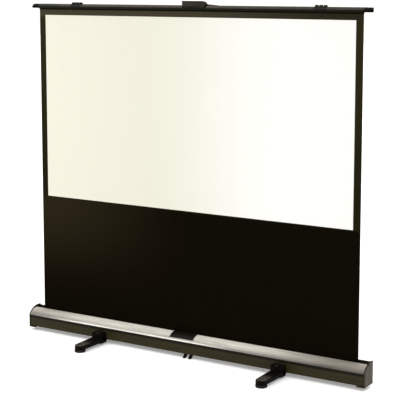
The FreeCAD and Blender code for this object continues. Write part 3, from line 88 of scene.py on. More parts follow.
SHEET_COLUMNS = 72
CLOTH_ROWS = 60
COAT_ROWS = 40
PAD_STEPS = 48
SHANK_SIDES = 16
RIVET_RINGS = 10
HEAD_TAPER = 0.74
RECESS_WIDTH = 0.22
RECESS_LIFT = 0.95

# Corners of a pad: how far each lies inside the rim, and how far under the pad's top or over its sole

PAD_CROWN = (
    (0.0042, 0.0), (0.004, 0.003), (0.0015, 0.003), (0.0003, 0.004), (0.0, 0.0052),
    (0.0007, 0.006), (0.0, 0.0068), (0.0, 0.0086), (0.0007, 0.0094), (0.0, 0.0102),
)
PAD_SOLE = (
    (0.0, 0.0025), (0.0008, 0.0009), (0.0025, 0.0), (0.006, 0.0), (0.007, 0.001), (0.009, 0.001),
    (0.010, 0.0), (0.014, 0.0), (0.015, 0.001), (0.017, 0.001), (0.018, 0.0),
)

# Where a tone sets in and where it is full, up the screen

COVER_RIDGE = COVER_LOW.z + 0.012
BAR_BEND = BAR_TOP - 0.013
LIP_SHADE = (COVER_RIDGE, COVER_RIDGE + 0.01)
BAR_EDGE = (BAR_BEND - 0.001, BAR_BEND + 0.004)
GRIP_FOOT = (GRIP_LOW.z + 0.006, GRIP_LOW.z + 0.015)
GRIP_BRIM = (GRIP_HIGH.z - 0.011, GRIP_HIGH.z - 0.006)
DROP_GLARE_HEIGHTS = (0.2, 0.72)
MASKING_FOOT = (VIEW_LOW.z - 0.012, VIEW_LOW.z + 0.002)
HEAD_FOOT = (VIEW_HIGH.z - 0.02, VIEW_HIGH.z + 0.004)

# The same along the screen, from its middle, and for the legs from front to back

COVER_LEFT_END = (-0.98, -0.56)
COVER_RIGHT_END = (0.34, 0.86)
LIP_DARKENING = (0.1, 0.4)
RIDGE_BRIGHTENING = (-0.95, -0.6)
RIDGE_DULLING = (0.05, 0.3)
BAR_LEFT_END = (-0.84, -0.74)
BAR_RIGHT_HALF = (0.0, 0.8)
CAP_OUTSIDE = (CAP_FACE - 0.002, CAP_FACE - 0.001)
RIGHT_CAP_SIDE = (0.0, 0.1)
DROP_LEFT_HALF = (-0.95, 0.05)
HEAD_RIGHT_HALF = (0.0, 0.85)
COAT_WHITENING = (-0.25, 0.5)
LEG_TIP = (0.15, 0.22)

# Levels and half heights of the painted shadow band and the painted highlight band, and depths of the bumps

LIP_SHADOW_BAND = (COVER_LOW.z - 0.001, 0.011)
RIDGE_BAND = (COVER_RIDGE - 0.001, 0.006)
PAINT_LINES = 0.00006
COVER_LINES = 0.00004
PLASTIC_GRAIN = 0.0002
RUBBER_GRAIN = 0.00015
BLACK_THREADS = 0.00012
WHITE_THREADS = 0.00004
FELT_PILE = 0.0004

# Lines, threads or patches to a metre along X, Y and Z

FINE_LINES = (6.0, 1400.0, 1400.0)
BROAD_LINES = (9.0, 210.0, 210.0)
SLUBS = (40.0, 40.0, 900.0)
BAND_PATCHES = (30.0, 200.0, 200.0)
CAP_DRAWING = (20.0, 160.0, 9.0)
COAT_CLOUDS = (3.0, 1.0, 0.5)
FIBRES = (900.0, 500.0, 2600.0)

# Tones of dust (which also serves as painted top light), flecks, wear, the painted ridge highlight and
# plain pieces

DUST_AND_TOP_LIGHT = (0.16, 0.155, 0.14)
PLASTIC_DUST_AND_LIGHT = (0.09, 0.085, 0.075)
RIDGE_HIGHLIGHT_TONE = (0.9, 0.88, 0.82)
CLOUD_SHADE = (0.985, 0.985, 0.985)
THREAD_SHADE = (0.985, 0.985, 0.98)
PLATE_BLACK = (0.0045, 0.0035, 0.0025)
WIPING_MARKS = (0.013, 0.0115, 0.009)
CAP_FLECKS = (0.01, 0.01, 0.009)
END_CAP_FLECKS = (0.03, 0.03, 0.027)
LEG_FLECKS = (0.10, 0.085, 0.07)
HANDLE_FLECKS = (0.07, 0.065, 0.055)
SADDLE_FLECKS = (0.012, 0.012, 0.01)
RUBBER_FLECKS = (0.06, 0.04, 0.035)
FELT_BLACK = (0.004, 0.004, 0.004)
LOOSE_FIBRES = (0.03, 0.029, 0.027)
BLACKENED_STEEL = (0.02, 0.019, 0.017)
FLOOR_WHITE = (0.93, 0.93, 0.93)
FLOOR_PATCHES = (0.94, 0.94, 0.94)


# Settings that a user would change

def length(name, description, default, least):
    return FloatProperty(name=name, description=description, default=default, min=least, unit="LENGTH")


def strength(name, description, default):
    return FloatProperty(name=name, description=description, default=default, min=0.0)


def colour(name, description, default):
    return FloatVectorProperty(
        name=name, description=description, default=default, subtype="COLOR", min=0.0, max=1.0)


class ClothSettings(bpy.types.PropertyGroup):
    ripple: length("Ripple", "Height of the faint ripples in the stretched cloth", 0.0006, 0.0)
    ripple_pitch: length(
        "Ripple pitch", "Distance from one ripple to the next along the case", 0.31, 0.05)
    calm_length: length(
        "Calm length", "Length above the slot and below the batten where the cloth is flat", 0.12, 0.01)
    coat_stand: length(
        "Coat stand", "How far the white coat's face lies in front of the black cloth", 0.00035, 0.0001)
    thread_pitch: length(
        "Thread pitch", "Distance between threads of the black cloth", 0.0008, 0.0002)
    white: colour(
        "White coat", "Colour of the viewing surface at its right", (0.81, 0.806, 0.787))
    # Painted shade: the coat at its left darker and creamier, where less light falls.
    shaded_cream: colour(
        "Creamy coat", "Colour of the viewing surface at its left", (0.69, 0.68, 0.578))
    drop: colour(
        "Black drop", "Colour of the cloth under the viewing surface", (0.0044, 0.0034, 0.0017))
    # Painted sheen: the drop's tone at its upper left, where a broad light from the left falls.
    glare_tone: colour(
        "Faded black", "Colour of the drop at its upper left, where it has faded", (0.0185, 0.0145, 0.0070))
    border: colour(
        "Black border", "Colour of the masking beside the viewing surface", (0.021, 0.0187, 0.0085))
    head: colour(
        "Head border", "Colour of the masking over the viewing surface", (0.046, 0.041, 0.0255))


class FastenerSettings(bpy.types.PropertyGroup):
    sides: IntProperty(
        name="Sides", description="Number of sides of a screw's head", default=24, min=8, max=64)
    recess_share: FloatProperty(
        name="Recess share", description="Arm of the cross recess as a share of the head's radius",
        default=0.55, min=0.1, max=0.9, subtype="FACTOR")
    rivet_radius: length("Rivet radius", "Radius of the rivet heads on the links", 0.0028, 0.001)
    rivet_height: length("Rivet height", "Height of the rivet heads on the links", 0.0006, 0.0003)
    rivet_setback: length("Rivet setback", "Distance of a link's rivet from its pivot", 0.019, 0.005)


class FinishSettings(bpy.types.PropertyGroup):
    case_paint: colour("Case paint", "Dark paint of the case extrusion", (0.0258, 0.0212, 0.0078))
    silver: colour("Silver", "Brushed metal of the case's cover", (0.60, 0.57, 0.51))
    # Painted shade: the cover darker and browner towards its ends, where the top light falls off.
    end_shade: colour("Tarnish", "Browner tone of the cover towards its ends", (0.225, 0.205, 0.175))
    # Painted highlight: the tone of the bar's lit upper edge; the links take a darker share of it.
    bar_paint: colour("Bar paint", "Grey paint of the top bar's rounded upper edge", (0.052, 0.046, 0.033))
    bar_shadow: colour(
        "Bar face", "Near-black paint of the top bar's face and the batten", (0.0045, 0.0036, 0.0016))
    moulding: colour(
        "Moulding", "Black plastic of the caps, legs, foot and roller plugs", (0.0060, 0.0050, 0.0034))
    cap_end: colour("Cap end", "Olive-grey of the end caps' outer faces", (0.051, 0.046, 0.031))
    grip: colour("Grip", "Olive-grey plastic of the pull handle and the clamps", (0.023, 0.0212, 0.0135))
    rubber: colour("Rubber", "Brown-black rubber of the pads", (0.0044, 0.0026, 0.0020))
    steel: colour("Steel", "Zinc-plated steel of screws, pins and brackets", (0.52, 0.52, 0.5))


class StudioSettings(bpy.types.PropertyGroup):
    lens: FloatProperty(
        name="Lens", description="Focal length on a 36 mm wide sensor", default=110.9, min=10.0,
        unit="CAMERA")
    stand: FloatVectorProperty(
        name="Camera place", description="Where the camera stands",
        default=(3.1994, -5.0720, 1.8584), subtype="TRANSLATION", unit="LENGTH")
    heading: FloatProperty(
        name="Heading", description="Turn of the view to the left of straight ahead",
        default=0.5527, subtype="ANGLE", unit="ROTATION")
    dip: FloatProperty(
        name="Dip", description="Fall of the view below level", default=0.12722, subtype="ANGLE",
        unit="ROTATION")
    lift: FloatProperty(name="Lift", description="Upright shift of the lens", default=-0.15)
    backdrop: strength("Backdrop", "Brightness of the white surroundings as they are seen", 1.1)
    sky: strength("Sky", "Strength of the light from the surroundings", 0.55)
    top_light: strength("Top light", "Strength of the soft light from above", 2.5)
    left_lamp: strength("Left lamp", "Power of the soft lamp at the left", 9.0)
    floor_glow: strength(
        "Floor glow", "Light of the lit-through floor, which keeps its shadows pale", 0.26)
    floor_size: length("Floor size", "Side of the floor", 60.0, 1.0)


# Node helpers

class Wiring:
    """Adds nodes to one tree and joins them by the names of their sockets."""

    def __init__(self, tree):
        self.tree = tree

    def add(self, kind, feeds=None, **settings):
        """A new node, set up first and then fed by the names of its inputs."""
        node = self.tree.nodes.new(kind)
        for name, value in settings.items():
            setattr(node, name, value)
        for label, value in (feeds or {}).items():
            self.feed(node.inputs[label], value)
        return node

    def feed(self, socket, value):
        """Joins another node's socket to an input, or sets a plain value on it."""
        if isinstance(value, bpy.types.NodeSocket):
            self.tree.links.new(value, socket)
        else:
            socket.default_value = value

    def maths(self, operation, *values):
        node = self.add("ShaderNodeMath", operation=operation)
        for socket, value in zip(node.inputs, values):
            self.feed(socket, value)
        return node.outputs[0]

    def product(self, first, *others):
        for other in others:
            first = self.maths("MULTIPLY", first, other)
        return first

    def vector(self, x=0.0, y=0.0, z=0.0):
        return self.add("ShaderNodeCombineXYZ", {"X": x, "Y": y, "Z": z}).outputs[0]

    def axes(self, position):
        return self.add("ShaderNodeSeparateXYZ", {"Vector": position}).outputs

    def stretch(self, position, scale):
        return self.add("ShaderNodeMapping", {"Vector": position, "Scale": scale}).outputs[0]

    def noise(self, position, scale, detail=2.0, rough=0.5):
        feeds = {"Vector": position, "Scale": scale, "Detail": detail, "Roughness": rough}
        return self.add("ShaderNodeTexNoise", feeds).outputs["Fac"]

    def ramp(self, value, low=0.35, high=0.65, floor=0.0, ceiling=1.0):
        """A soft step between two values, which by itself spreads a noise over its whole range."""
        feeds = {"Value": value, "From Min": low, "From Max": high, "To Min": floor, "To Max": ceiling}
        return self.add("ShaderNodeMapRange", feeds, interpolation_type="SMOOTHSTEP").outputs["Result"]

    def blend(self, share, first, second, kind="MIX"):
        node = self.add("ShaderNodeMix", {"Factor": share}, data_type="RGBA", blend_type=kind)
        colours = [socket for socket in node.inputs if socket.type == "RGBA"]
        for socket, value in zip(colours, (first, second)):
            self.feed(socket, value if isinstance(value, bpy.types.NodeSocket) else (*value[:3], 1.0))
        return [socket for socket in node.outputs if socket.type == "RGBA"][0]

    def varied(self, share, tone, darkest, lightest):
        """A tone that goes from one share of itself to another."""
        return self.blend(share, scaled(tone, darkest), scaled(tone, lightest))

    def dimmed(self, tone, shade):
        """A tone times a share, which may be another node's number."""
        return self.blend(1.0, tone, self.vector(shade, shade, shade), "MULTIPLY")

    def bump(self, height, depth, weight):
        feeds = {"Height": height, "Distance": depth, "Strength": weight}
        return self.add("ShaderNodeBump", feeds).outputs["Normal"]


def scaled(tone, share):
    return tuple(part * share for part in tone)


def made_once(name):
    """Gives back the node tree of that name, and builds it at the first call."""
    def keeper(build):
        return lambda: bpy.data.node_groups.get(name) or build(name)
    return keeper


def named_tree(name, kind, inputs, outputs):
    """An empty node tree with named sockets, and its two ends."""
    tree = bpy.data.node_groups.new(name, kind)
    for side, sockets in (("INPUT", inputs), ("OUTPUT", outputs)):
        for label, form, default in sockets:
            socket = tree.interface.new_socket(name=label, in_out=side, socket_type="NodeSocket" + form)
            if default is not None:
                socket.default_value = default
    wiring = Wiring(tree)
    return wiring, wiring.add("NodeGroupInput").outputs, wiring.add("NodeGroupOutput").inputs


# Effects that finishes share

def effect_tree(name, numbers, outputs, facing=False):
    """A shader tree that is given a position, a facing where asked for, and named numbers."""
    inputs = [("Position", "Vector", None)]
    if facing:
        inputs.append(("Facing", "Vector", None))
    inputs += [(label, "Float", default) for label, default in numbers]
    return named_tree(name, "ShaderNodeTree", inputs, [(label, "Float", None) for label in outputs])


@made_once("Moulded Grain")
def moulded_grain(name):
    """Fine pebbled grain of moulded plastic, with rare lighter flecks."""
    numbers = (("Grain Count", 900.0), ("Fleck Share", 0.3))
    wiring, given, made = effect_tree(name, numbers, ("Height", "Fleck"))
    grain = wiring.noise(given["Position"], given["Grain Count"], 3.0, 0.6)
    coarse = wiring.noise(given["Position"], wiring.product(given["Grain Count"], 0.22))
    wiring.feed(made["Height"], wiring.maths("MULTIPLY_ADD", coarse, 0.5, grain))
    edge = wiring.maths("MULTIPLY_ADD", given["Fleck Share"], -0.35, 0.75)
    wiring.feed(made["Fleck"], wiring.ramp(coarse, edge, wiring.maths("ADD", edge, 0.08)))
    return wiring.tree


@made_once("Brushed Streaks")
def brushed_streaks(name):
    """Long fine lines along X, as rolling and brushing leave on metal."""
    wiring, given, made = effect_tree(name, (("Line Count", 1.0),), ("Shade", "Height"))
    fine = wiring.noise(wiring.stretch(given["Position"], FINE_LINES), given["Line Count"], 3.0)
    broad = wiring.noise(wiring.stretch(given["Position"], BROAD_LINES), given["Line Count"], 3.0, 0.6)
    wiring.feed(made["Shade"], wiring.maths("MULTIPLY_ADD", fine, 0.35, wiring.product(broad, 0.65)))
    wiring.feed(made["Height"], fine)
    return wiring.tree


@made_once("Woven Threads")
def woven_threads(name):
    """Plain weave of crossing threads in the XZ plane."""
    wiring, given, made = effect_tree(name, (("Thread Pitch", 0.0008),), ("Height", "Shade"))
    place = wiring.axes(given["Position"])
    turns = wiring.maths("DIVIDE", math.pi, given["Thread Pitch"])
    across = wiring.maths("SINE", wiring.product(place["X"], turns))
    along = wiring.maths("SINE", wiring.product(place["Z"], turns))
    wiring.feed(made["Height"], wiring.product(across, along))
    wiring.feed(made["Shade"], wiring.noise(wiring.stretch(given["Position"], SLUBS), 1.0, 3.0))
    return wiring.tree


@made_once("Settled Dust")
def dust_and_top_light(name):
    """Patchy dust on faces that look up, which also serves as painted light on the tops."""
    wiring, given, made = effect_tree(name, (("Amount", 0.5),), ("Mask",), facing=True)
    upward = wiring.ramp(wiring.axes(given["Facing"])["Z"], 0.35, 0.95)
    patches = wiring.ramp(wiring.noise(given["Position"], 34.0, 4.0, 0.6), 0.35, 0.7)
    wiring.feed(made["Mask"], wiring.product(upward, patches, given["Amount"]))
    return wiring.tree


@made_once("Rubbed Band")
def painted_light_band(name):
    """A band round one height, broken up in patches; it paints the shadow under the cover's lip and the
    highlight along its ridge.
    """
    numbers = (("Level", 0.1), ("Half Height", 0.002), ("Breakup", 0.5))
    wiring, given, made = effect_tree(name, numbers, ("Mask",))
    offset = wiring.maths("SUBTRACT", wiring.axes(given["Position"])["Z"], given["Level"])
    near = wiring.ramp(wiring.maths("ABSOLUTE", offset), 0.0, given["Half Height"], 1.0, 0.0)
    patchy_noise = wiring.noise(wiring.stretch(given["Position"], BAND_PATCHES), 1.0, 4.0, 0.65)
    kept = wiring.ramp(patchy_noise, wiring.maths("MULTIPLY_ADD", given["Breakup"], 0.4, 0.2), 0.75)
    wiring.feed(made["Mask"], wiring.product(near, kept))
    return wiring.tree


# Finishes

class Finish:
    """One material: its shader, its Object coordinates, and the effects placed in it."""

    def __init__(self, name, roughness, metallic=0.0, specular=0.5):
        self.material = bpy.data.materials.new(name)
        self.material.use_nodes = True
        tree = self.material.node_tree
        self.wiring = Wiring(tree)
        self.shader = [node for node in tree.nodes if node.type == "BSDF_PRINCIPLED"][0].inputs
        self.shader["Roughness"].default_value = roughness
        self.shader["Metallic"].default_value = metallic
        self.shader["Specular IOR Level"].default_value = specular
        coordinates = self.wiring.add("ShaderNodeTexCoord").outputs
        self.position = coordinates["Object"]
        self.normal = coordinates["Normal"]

    def place(self, axis):
        """Where each point lies along an axis."""
        return self.wiring.axes(self.position)[axis]

    def facing(self, axis):
        """How far the surface looks along an axis, from -1 to 1."""
        return self.wiring.axes(self.normal)[axis]

    def effect(self, tree, **values):
        """Places a shared effect with its own values and gives back its outputs."""
        given = {"Position": self.position, "Facing": self.normal}
        given.update({label.replace("_", " ").title(): value for label, value in values.items()})
        node = self.wiring.add("ShaderNodeGroup", node_tree=tree)
        for socket in node.inputs:
            if socket.name in given:
                self.wiring.feed(socket, given[socket.name])
        return node.outputs

    def complete(self, tone, roughness=None, bump=None):
        """Joins the tone, the roughness and a bump's height, depth and strength to the shader."""
        self.wiring.feed(self.shader["Base Color"], tone)
        if roughness is not None:
            self.wiring.feed(self.shader["Roughness"], roughness)
        if bump is not None:
            self.wiring.feed(self.shader["Normal"], self.wiring.bump(*bump))
        return self.material


def finishes():
    return bpy.context.scene.screen_finishes


def dark_paint(name, tone, dust, gloss, specular=0.1, shadow_band=None):
    """Satin paint over an extrusion: faint drawn lines, patchy sheen, dust on top that also serves as
    painted top light, and a painted shadow band at one height.
    """
    finish = Finish(name, gloss, specular=specular)
    wiring = finish.wiring
    streaks = finish.effect(brushed_streaks(), line_count=0.6)
    dust_and_light_mask = finish.effect(dust_and_top_light(), amount=dust)["Mask"]
    shade = wiring.ramp(streaks["Shade"])
    base = wiring.varied(shade, tone, 0.8, 1.2)
    # Painted shadow: a band at one height darkened nearly to black, used for the shade under the cover's
    # lip.
    if shadow_band is not None:
        level, half_height = shadow_band
        band = finish.effect(painted_light_band(), level=level, half_height=half_height, breakup=-1.5)
        base = wiring.blend(band["Mask"], base, scaled(tone, 0.03))
    sheen = wiring.ramp(shade, 0.0, 1.0, gloss, gloss + 0.1)
    return finish.complete(
        wiring.blend(dust_and_light_mask, base, DUST_AND_TOP_LIGHT), wiring.maths("MULTIPLY_ADD", dust_and_light_mask, 0.3, sheen),
        (streaks["Height"], PAINT_LINES, 0.5))


def silver_cover():
    """Brushed silver paint with streaks along the case; painted light makes it brighter high up and darker
    low down, a painted highlight runs along the ridge, and painted shade darkens the lip at the right and
    the ends, which it also browns.
    """
    finish = Finish("Brushed Silver Cover", 0.45, specular=0.3)
    wiring = finish.wiring
    streaks = finish.effect(brushed_streaks(), line_count=1.0)
    level, half_height = RIDGE_BAND
    ridge = finish.effect(painted_light_band(), level=level, half_height=half_height, breakup=-0.9)
    along = finish.place("X")
    height = finish.place("Z")
    # Painted shade: darker and browner towards both ends, where the top light falls off.
    left = wiring.ramp(along, *COVER_LEFT_END, 0.8, 0.0)
    ends_shaded = wiring.maths("MAXIMUM", left, wiring.ramp(along, *COVER_RIGHT_END))
    tone = wiring.blend(ends_shaded, finishes().silver, finishes().end_shade)
    # Painted shade on the lip, growing towards the right.
    lip = wiring.product(wiring.ramp(along, *LIP_DARKENING), wiring.ramp(height, *LIP_SHADE, 1.0, 0.0))
    # Streaks, then painted light that brightens the cover towards its top and darkens it towards the ridge,
    # then the lip's painted shade.
    shade = wiring.product(
        wiring.ramp(streaks["Shade"], 0.34, 0.66, 0.72, 1.14),
        wiring.ramp(height, COVER_RIDGE, COVER_HIGH.z, 0.6, 1.42),
        wiring.ramp(lip, 0.0, 1.0, 1.0, 0.72))
    # Painted highlight along the ridge, left of the middle, which is also made glossier and more metallic
    # there.
    ridge_highlight = wiring.product(
        wiring.ramp(along, *RIDGE_BRIGHTENING), wiring.ramp(along, *RIDGE_DULLING, 1.0, 0.0),
        ridge["Mask"])
    wiring.feed(finish.shader["Metallic"], wiring.ramp(ridge_highlight, 0.0, 1.0, 0.12, 0.85))
    brushed = wiring.ramp(streaks["Height"], 0.3, 0.7, 0.4, 0.52)
    polished = wiring.ramp(ridge_highlight, 0.0, 1.0, 0.0, -0.22)
    return finish.complete(
        wiring.blend(ridge_highlight, wiring.dimmed(tone, shade), RIDGE_HIGHLIGHT_TONE),
        wiring.maths("ADD", polished, brushed), (streaks["Height"], COVER_LINES, 0.6))


def bar_enamel():
    """Near-black enamel with a painted highlight on its rounded upper edge, faint drawn lines and dust."""
    finish = Finish("Bar Paint", 0.45, specular=0.08)
    wiring = finish.wiring
    streaks = finish.effect(brushed_streaks(), line_count=0.6)
    dust_and_light_mask = finish.effect(dust_and_top_light(), amount=0.15)["Mask"]
    along = finish.place("X")
    # Painted highlight on the rounded upper edge, as lit from above, weaker over the right half and at the
    # left end.
    upper = wiring.product(
        wiring.ramp(finish.place("Z"), *BAR_EDGE), wiring.ramp(along, *BAR_RIGHT_HALF, 1.0, 0.55),
        wiring.ramp(along, *BAR_LEFT_END, 0.4, 1.0))
    tone = wiring.blend(upper, finishes().bar_shadow, finishes().bar_paint)
    shade = wiring.ramp(streaks["Shade"], floor=0.85, ceiling=1.15)
    sheen = wiring.ramp(shade, 0.85, 1.15, 0.42, 0.55)
    return finish.complete(
        wiring.blend(dust_and_light_mask, wiring.dimmed(tone, shade), DUST_AND_TOP_LIGHT),
        wiring.maths("MULTIPLY_ADD", dust_and_light_mask, 0.3, sheen), (streaks["Height"], PAINT_LINES, 0.5))


def plain_plate():
    """Black satin plate, bare, with fine wiping marks."""
    finish = Finish("Bare Badge Plate", 0.45, specular=0.12)
    wiring = finish.wiring
    marks = wiring.ramp(finish.effect(brushed_streaks(), line_count=0.5)["Shade"], 0.4, 0.7)
    return finish.complete(
        wiring.blend(marks, PLATE_BLACK, WIPING_MARKS), wiring.ramp(marks, 0.0, 1.0, 0.4, 0.52))


class Moulding(Finish):
    """Black moulded plastic with pebbled grain, light flecks, and dust on top that also serves as painted
    top light.
    """

    def __init__(self, name, tone, grain_count, fleck_share, rough, specular, dust):
        super().__init__(name, rough, specular=specular)
        self.rough = rough
        self.grain = self.effect(moulded_grain(), grain_count=grain_count, fleck_share=fleck_share)
        self.flecks = self.grain["Fleck"]
        self.dust_and_light_mask = self.effect(dust_and_top_light(), amount=dust)["Mask"]
        patches = self.wiring.ramp(self.wiring.noise(self.position, 22.0, 3.0))
        self.base = self.wiring.varied(patches, tone, 0.75, 1.3)

    def recolour(self, area, tone):
        self.base = self.wiring.blend(area, self.base, tone)

    def recolour_top(self, tone):
        self.recolour(self.wiring.ramp(self.facing("Z"), 0.3, 0.8), tone)

    def moulded(self, fleck_tone):
        flecked = self.wiring.blend(self.flecks, self.base, fleck_tone)
        height = self.grain["Height"]
        return self.complete(
            self.wiring.blend(self.dust_and_light_mask, flecked, PLASTIC_DUST_AND_LIGHT),
            self.wiring.ramp(height, 0.4, 1.1, self.rough - 0.08, self.rough + 0.1),
            (height, PLASTIC_GRAIN, 0.6))


def cap_plastic():
    """The blackest plastic, with painted light that makes it greyer on top."""
    tone = scaled(finishes().moulding, 0.2)
    plastic = Moulding("Cap Plastic", tone, 800.0, 0.1, 0.5, 0.02, 0.02)
    # Painted light: the upward faces lighter, as lit from above.
    plastic.recolour_top(scaled(tone, 7.0))
    return plastic.moulded(CAP_FLECKS)


def end_cap_plastic():
    """Plastic with paler outer faces, and with the case's tone on the front of the right cap."""
    plastic = Moulding("End Cap Plastic", finishes().moulding, 800.0, 0.1, 0.45, 0.1, 0.2)
    wiring = plastic.wiring
    drawn = wiring.noise(wiring.stretch(plastic.position, CAP_DRAWING), 1.0, 3.0)
    sideways = wiring.ramp(wiring.maths("ABSOLUTE", plastic.facing("X")), 0.9, 0.99)
    outermost = wiring.ramp(wiring.maths("ABSOLUTE", plastic.place("X")), *CAP_OUTSIDE)
    paler = wiring.varied(wiring.ramp(drawn), finishes().cap_end, 0.7, 1.25)
    plastic.recolour(wiring.product(sideways, outermost), paler)
    forward = wiring.ramp(plastic.facing("Y"), -0.7, -0.3, 1.0, 0.0)
    right = wiring.ramp(plastic.place("X"), *RIGHT_CAP_SIDE)
    plastic.recolour(wiring.product(forward, right), finishes().case_paint)
    return plastic.moulded(END_CAP_FLECKS)


def leg_plastic():
    """Coarse-grained plastic, flecked and paler on top of the legs' tips."""
    plastic = Moulding("Leg Plastic", scaled(finishes().moulding, 0.5), 520.0, 0.7, 0.55, 0.04, 0.02)
    wiring = plastic.wiring
    reach = wiring.maths("ABSOLUTE", plastic.place("Y"))
    near_tip = wiring.product(wiring.ramp(plastic.facing("Z"), 0.5, 0.9), wiring.ramp(reach, *LEG_TIP))
    plastic.flecks = wiring.product(plastic.flecks, near_tip)
    plastic.recolour(near_tip, scaled(LEG_FLECKS, 0.45))
    return plastic.moulded(LEG_FLECKS)


def handle_plastic():
    """Olive-grey plastic, darker at the grip's foot, brim, slanted end and top."""
    tone = finishes().grip
    plastic = Moulding("Handle Plastic", tone, 700.0, 0.35, 0.5, 0.1, 0.02)
    wiring = plastic.wiring
    height = plastic.place("Z")
    foot = wiring.ramp(height, *GRIP_FOOT, 1.0, 0.0)
    slanted = wiring.ramp(plastic.facing("X"), 0.2, 0.6)
    brim = wiring.ramp(height, *GRIP_BRIM, 0.0, 0.6)
    # Painted shadow at the grip's foot and at its slanted end, with a darker brim.
    shaded = wiring.maths("MAXIMUM", wiring.maths("MAXIMUM", foot, slanted), brim)
    plastic.recolour(shaded, scaled(tone, 0.15))
    plastic.recolour_top(scaled(tone, 0.35))
    return plastic.moulded(HANDLE_FLECKS)


def saddle_coat():
    """Powder coat with a very fine grain."""
    tone = scaled(finishes().moulding, 0.5)
    coat = Moulding("Saddle Powder Coat", tone, 1100.0, 0.1, 0.6, 0.04, 0.03)
    return coat.moulded(SADDLE_FLECKS)


def black_cloth():
    """Matt woven cloth: darkest on the drop and behind, greyer on the masking round the white, with a
    painted sheen at the drop's upper left.
    """
    settings = bpy.context.scene.screen_cloth
    finish = Finish("Masking Cloth", 0.95, specular=0.0)
    wiring = finish.wiring
    weave = finish.effect(woven_threads(), thread_pitch=settings.thread_pitch)
    shade = wiring.ramp(weave["Shade"], 0.3, 0.7)
    along = finish.place("X")
    height = finish.place("Z")
    in_front = wiring.ramp(finish.facing("Y"), -0.6, -0.4, 1.0, 0.0)
    # Painted sheen: the drop greyer towards its upper left, as a broad light from the left would leave it.
    glare = wiring.product(
        wiring.ramp(along, *DROP_LEFT_HALF, 1.0, 0.0), in_front, wiring.ramp(height, *DROP_GLARE_HEIGHTS))
    drop = wiring.blend(glare, wiring.varied(shade, settings.drop, 0.8, 1.2), settings.glare_tone)
    border = wiring.varied(shade, settings.border, 0.85, 1.15)
    border = wiring.blend(wiring.ramp(height, VIEW_LOW.z, VIEW_HIGH.z, 0.55, 0.0), border, settings.drop)
    head = wiring.varied(shade, settings.head, 0.85, 1.15)
    head = wiring.blend(wiring.ramp(along, *HEAD_RIGHT_HALF, 0.0, 0.6), head, settings.drop)
    border = wiring.blend(wiring.ramp(height, *HEAD_FOOT), border, head)
    masking = wiring.product(in_front, wiring.ramp(height, *MASKING_FOOT))
    return finish.complete(
        wiring.blend(masking, drop, border), bump=(weave["Height"], BLACK_THREADS, 0.6))


def white_coat():
    """Matt white coat over a fine weave, with painted shade that makes it darker and creamier at the left,
    and very slightly uneven.
    """
    settings = bpy.context.scene.screen_cloth
    finish = Finish("White Viewing Coat", 0.9, specular=0.1)
    wiring = finish.wiring
    weave = finish.effect(woven_threads(), thread_pitch=settings.thread_pitch * 0.6)
    clouds = wiring.ramp(wiring.noise(wiring.stretch(finish.position, COAT_CLOUDS), 1.0))
    threads = wiring.ramp(weave["Shade"], 0.3, 0.7)
    # Painted shade: darker and creamier towards the left, lighter towards the right.
    coat = wiring.blend(wiring.ramp(finish.place("X"), *COAT_WHITENING), settings.shaded_cream, settings.white)
    coat = wiring.blend(clouds, wiring.blend(1.0, coat, CLOUD_SHADE, "MULTIPLY"), coat)
    coat = wiring.blend(threads, wiring.blend(1.0, coat, THREAD_SHADE, "MULTIPLY"), coat)
    return finish.complete(coat, bump=(weave["Height"], WHITE_THREADS, 0.5))


def felt_strip():
    """Black felt with loose fibres."""
    finish = Finish("Slot Felt", 0.98, specular=0.05)
    finish.shader["Sheen Weight"].default_value = 0.3
    wiring = finish.wiring
    fibres = wiring.noise(wiring.stretch(finish.position, FIBRES), 1.0, 4.0, 0.7)
    tone = wiring.blend(wiring.ramp(fibres, 0.35, 0.7), FELT_BLACK, LOOSE_FIBRES)
    return finish.complete(tone, bump=(fibres, FELT_PILE, 0.8))


def plated_steel():
    """Zinc-plated steel with a fine crystalline mottle."""
    rough = 0.34
    tone = finishes().steel
    finish = Finish("Plated Steel", rough, metallic=1.0)
    wiring = finish.wiring
    streaks = finish.effect(brushed_streaks(), line_count=0.8)
    mottle = wiring.noise(finish.position, 320.0, 3.0)
    base = wiring.varied(wiring.ramp(mottle), tone, 0.8, 1.1)
    drawn = wiring.ramp(streaks["Shade"], 0.4, 0.6)
    return finish.complete(
        wiring.blend(drawn, base, scaled(tone, 0.95)),
        wiring.ramp(mottle, 0.3, 0.7, rough - 0.06, rough + 0.1))


def pad_rubber():
    """Brown-black rubber, dull, with a bloom like dust."""
    tone = finishes().rubber
    finish = Finish("Pad Rubber", 0.72, specular=0.3)
    wiring = finish.wiring
    grain = finish.effect(moulded_grain(), grain_count=1400.0, fleck_share=0.15)
    bloom = wiring.ramp(wiring.noise(finish.position, 60.0, 4.0, 0.6), 0.4, 0.75)
    base = wiring.blend(bloom, tone, scaled(tone, 2.0))
    return finish.complete(
        wiring.blend(grain["Fleck"], base, RUBBER_FLECKS), bump=(grain["Height"], RUBBER_GRAIN, 0.5))


def floor_paint():
    """Plain white studio floor that glows a little, as a light table does."""
    finish = Finish("Studio Floor", 0.9, specular=0.0)
    finish.shader["Emission Color"].default_value = (1.0, 1.0, 1.0, 1.0)
    finish.shader["Emission Strength"].default_value = bpy.context.scene.screen_studio.floor_glow
    wiring = finish.wiring
    patches = wiring.ramp(wiring.noise(finish.position, 0.6), 0.4, 0.6)
    return finish.complete(wiring.blend(patches, FLOOR_WHITE, FLOOR_PATCHES))


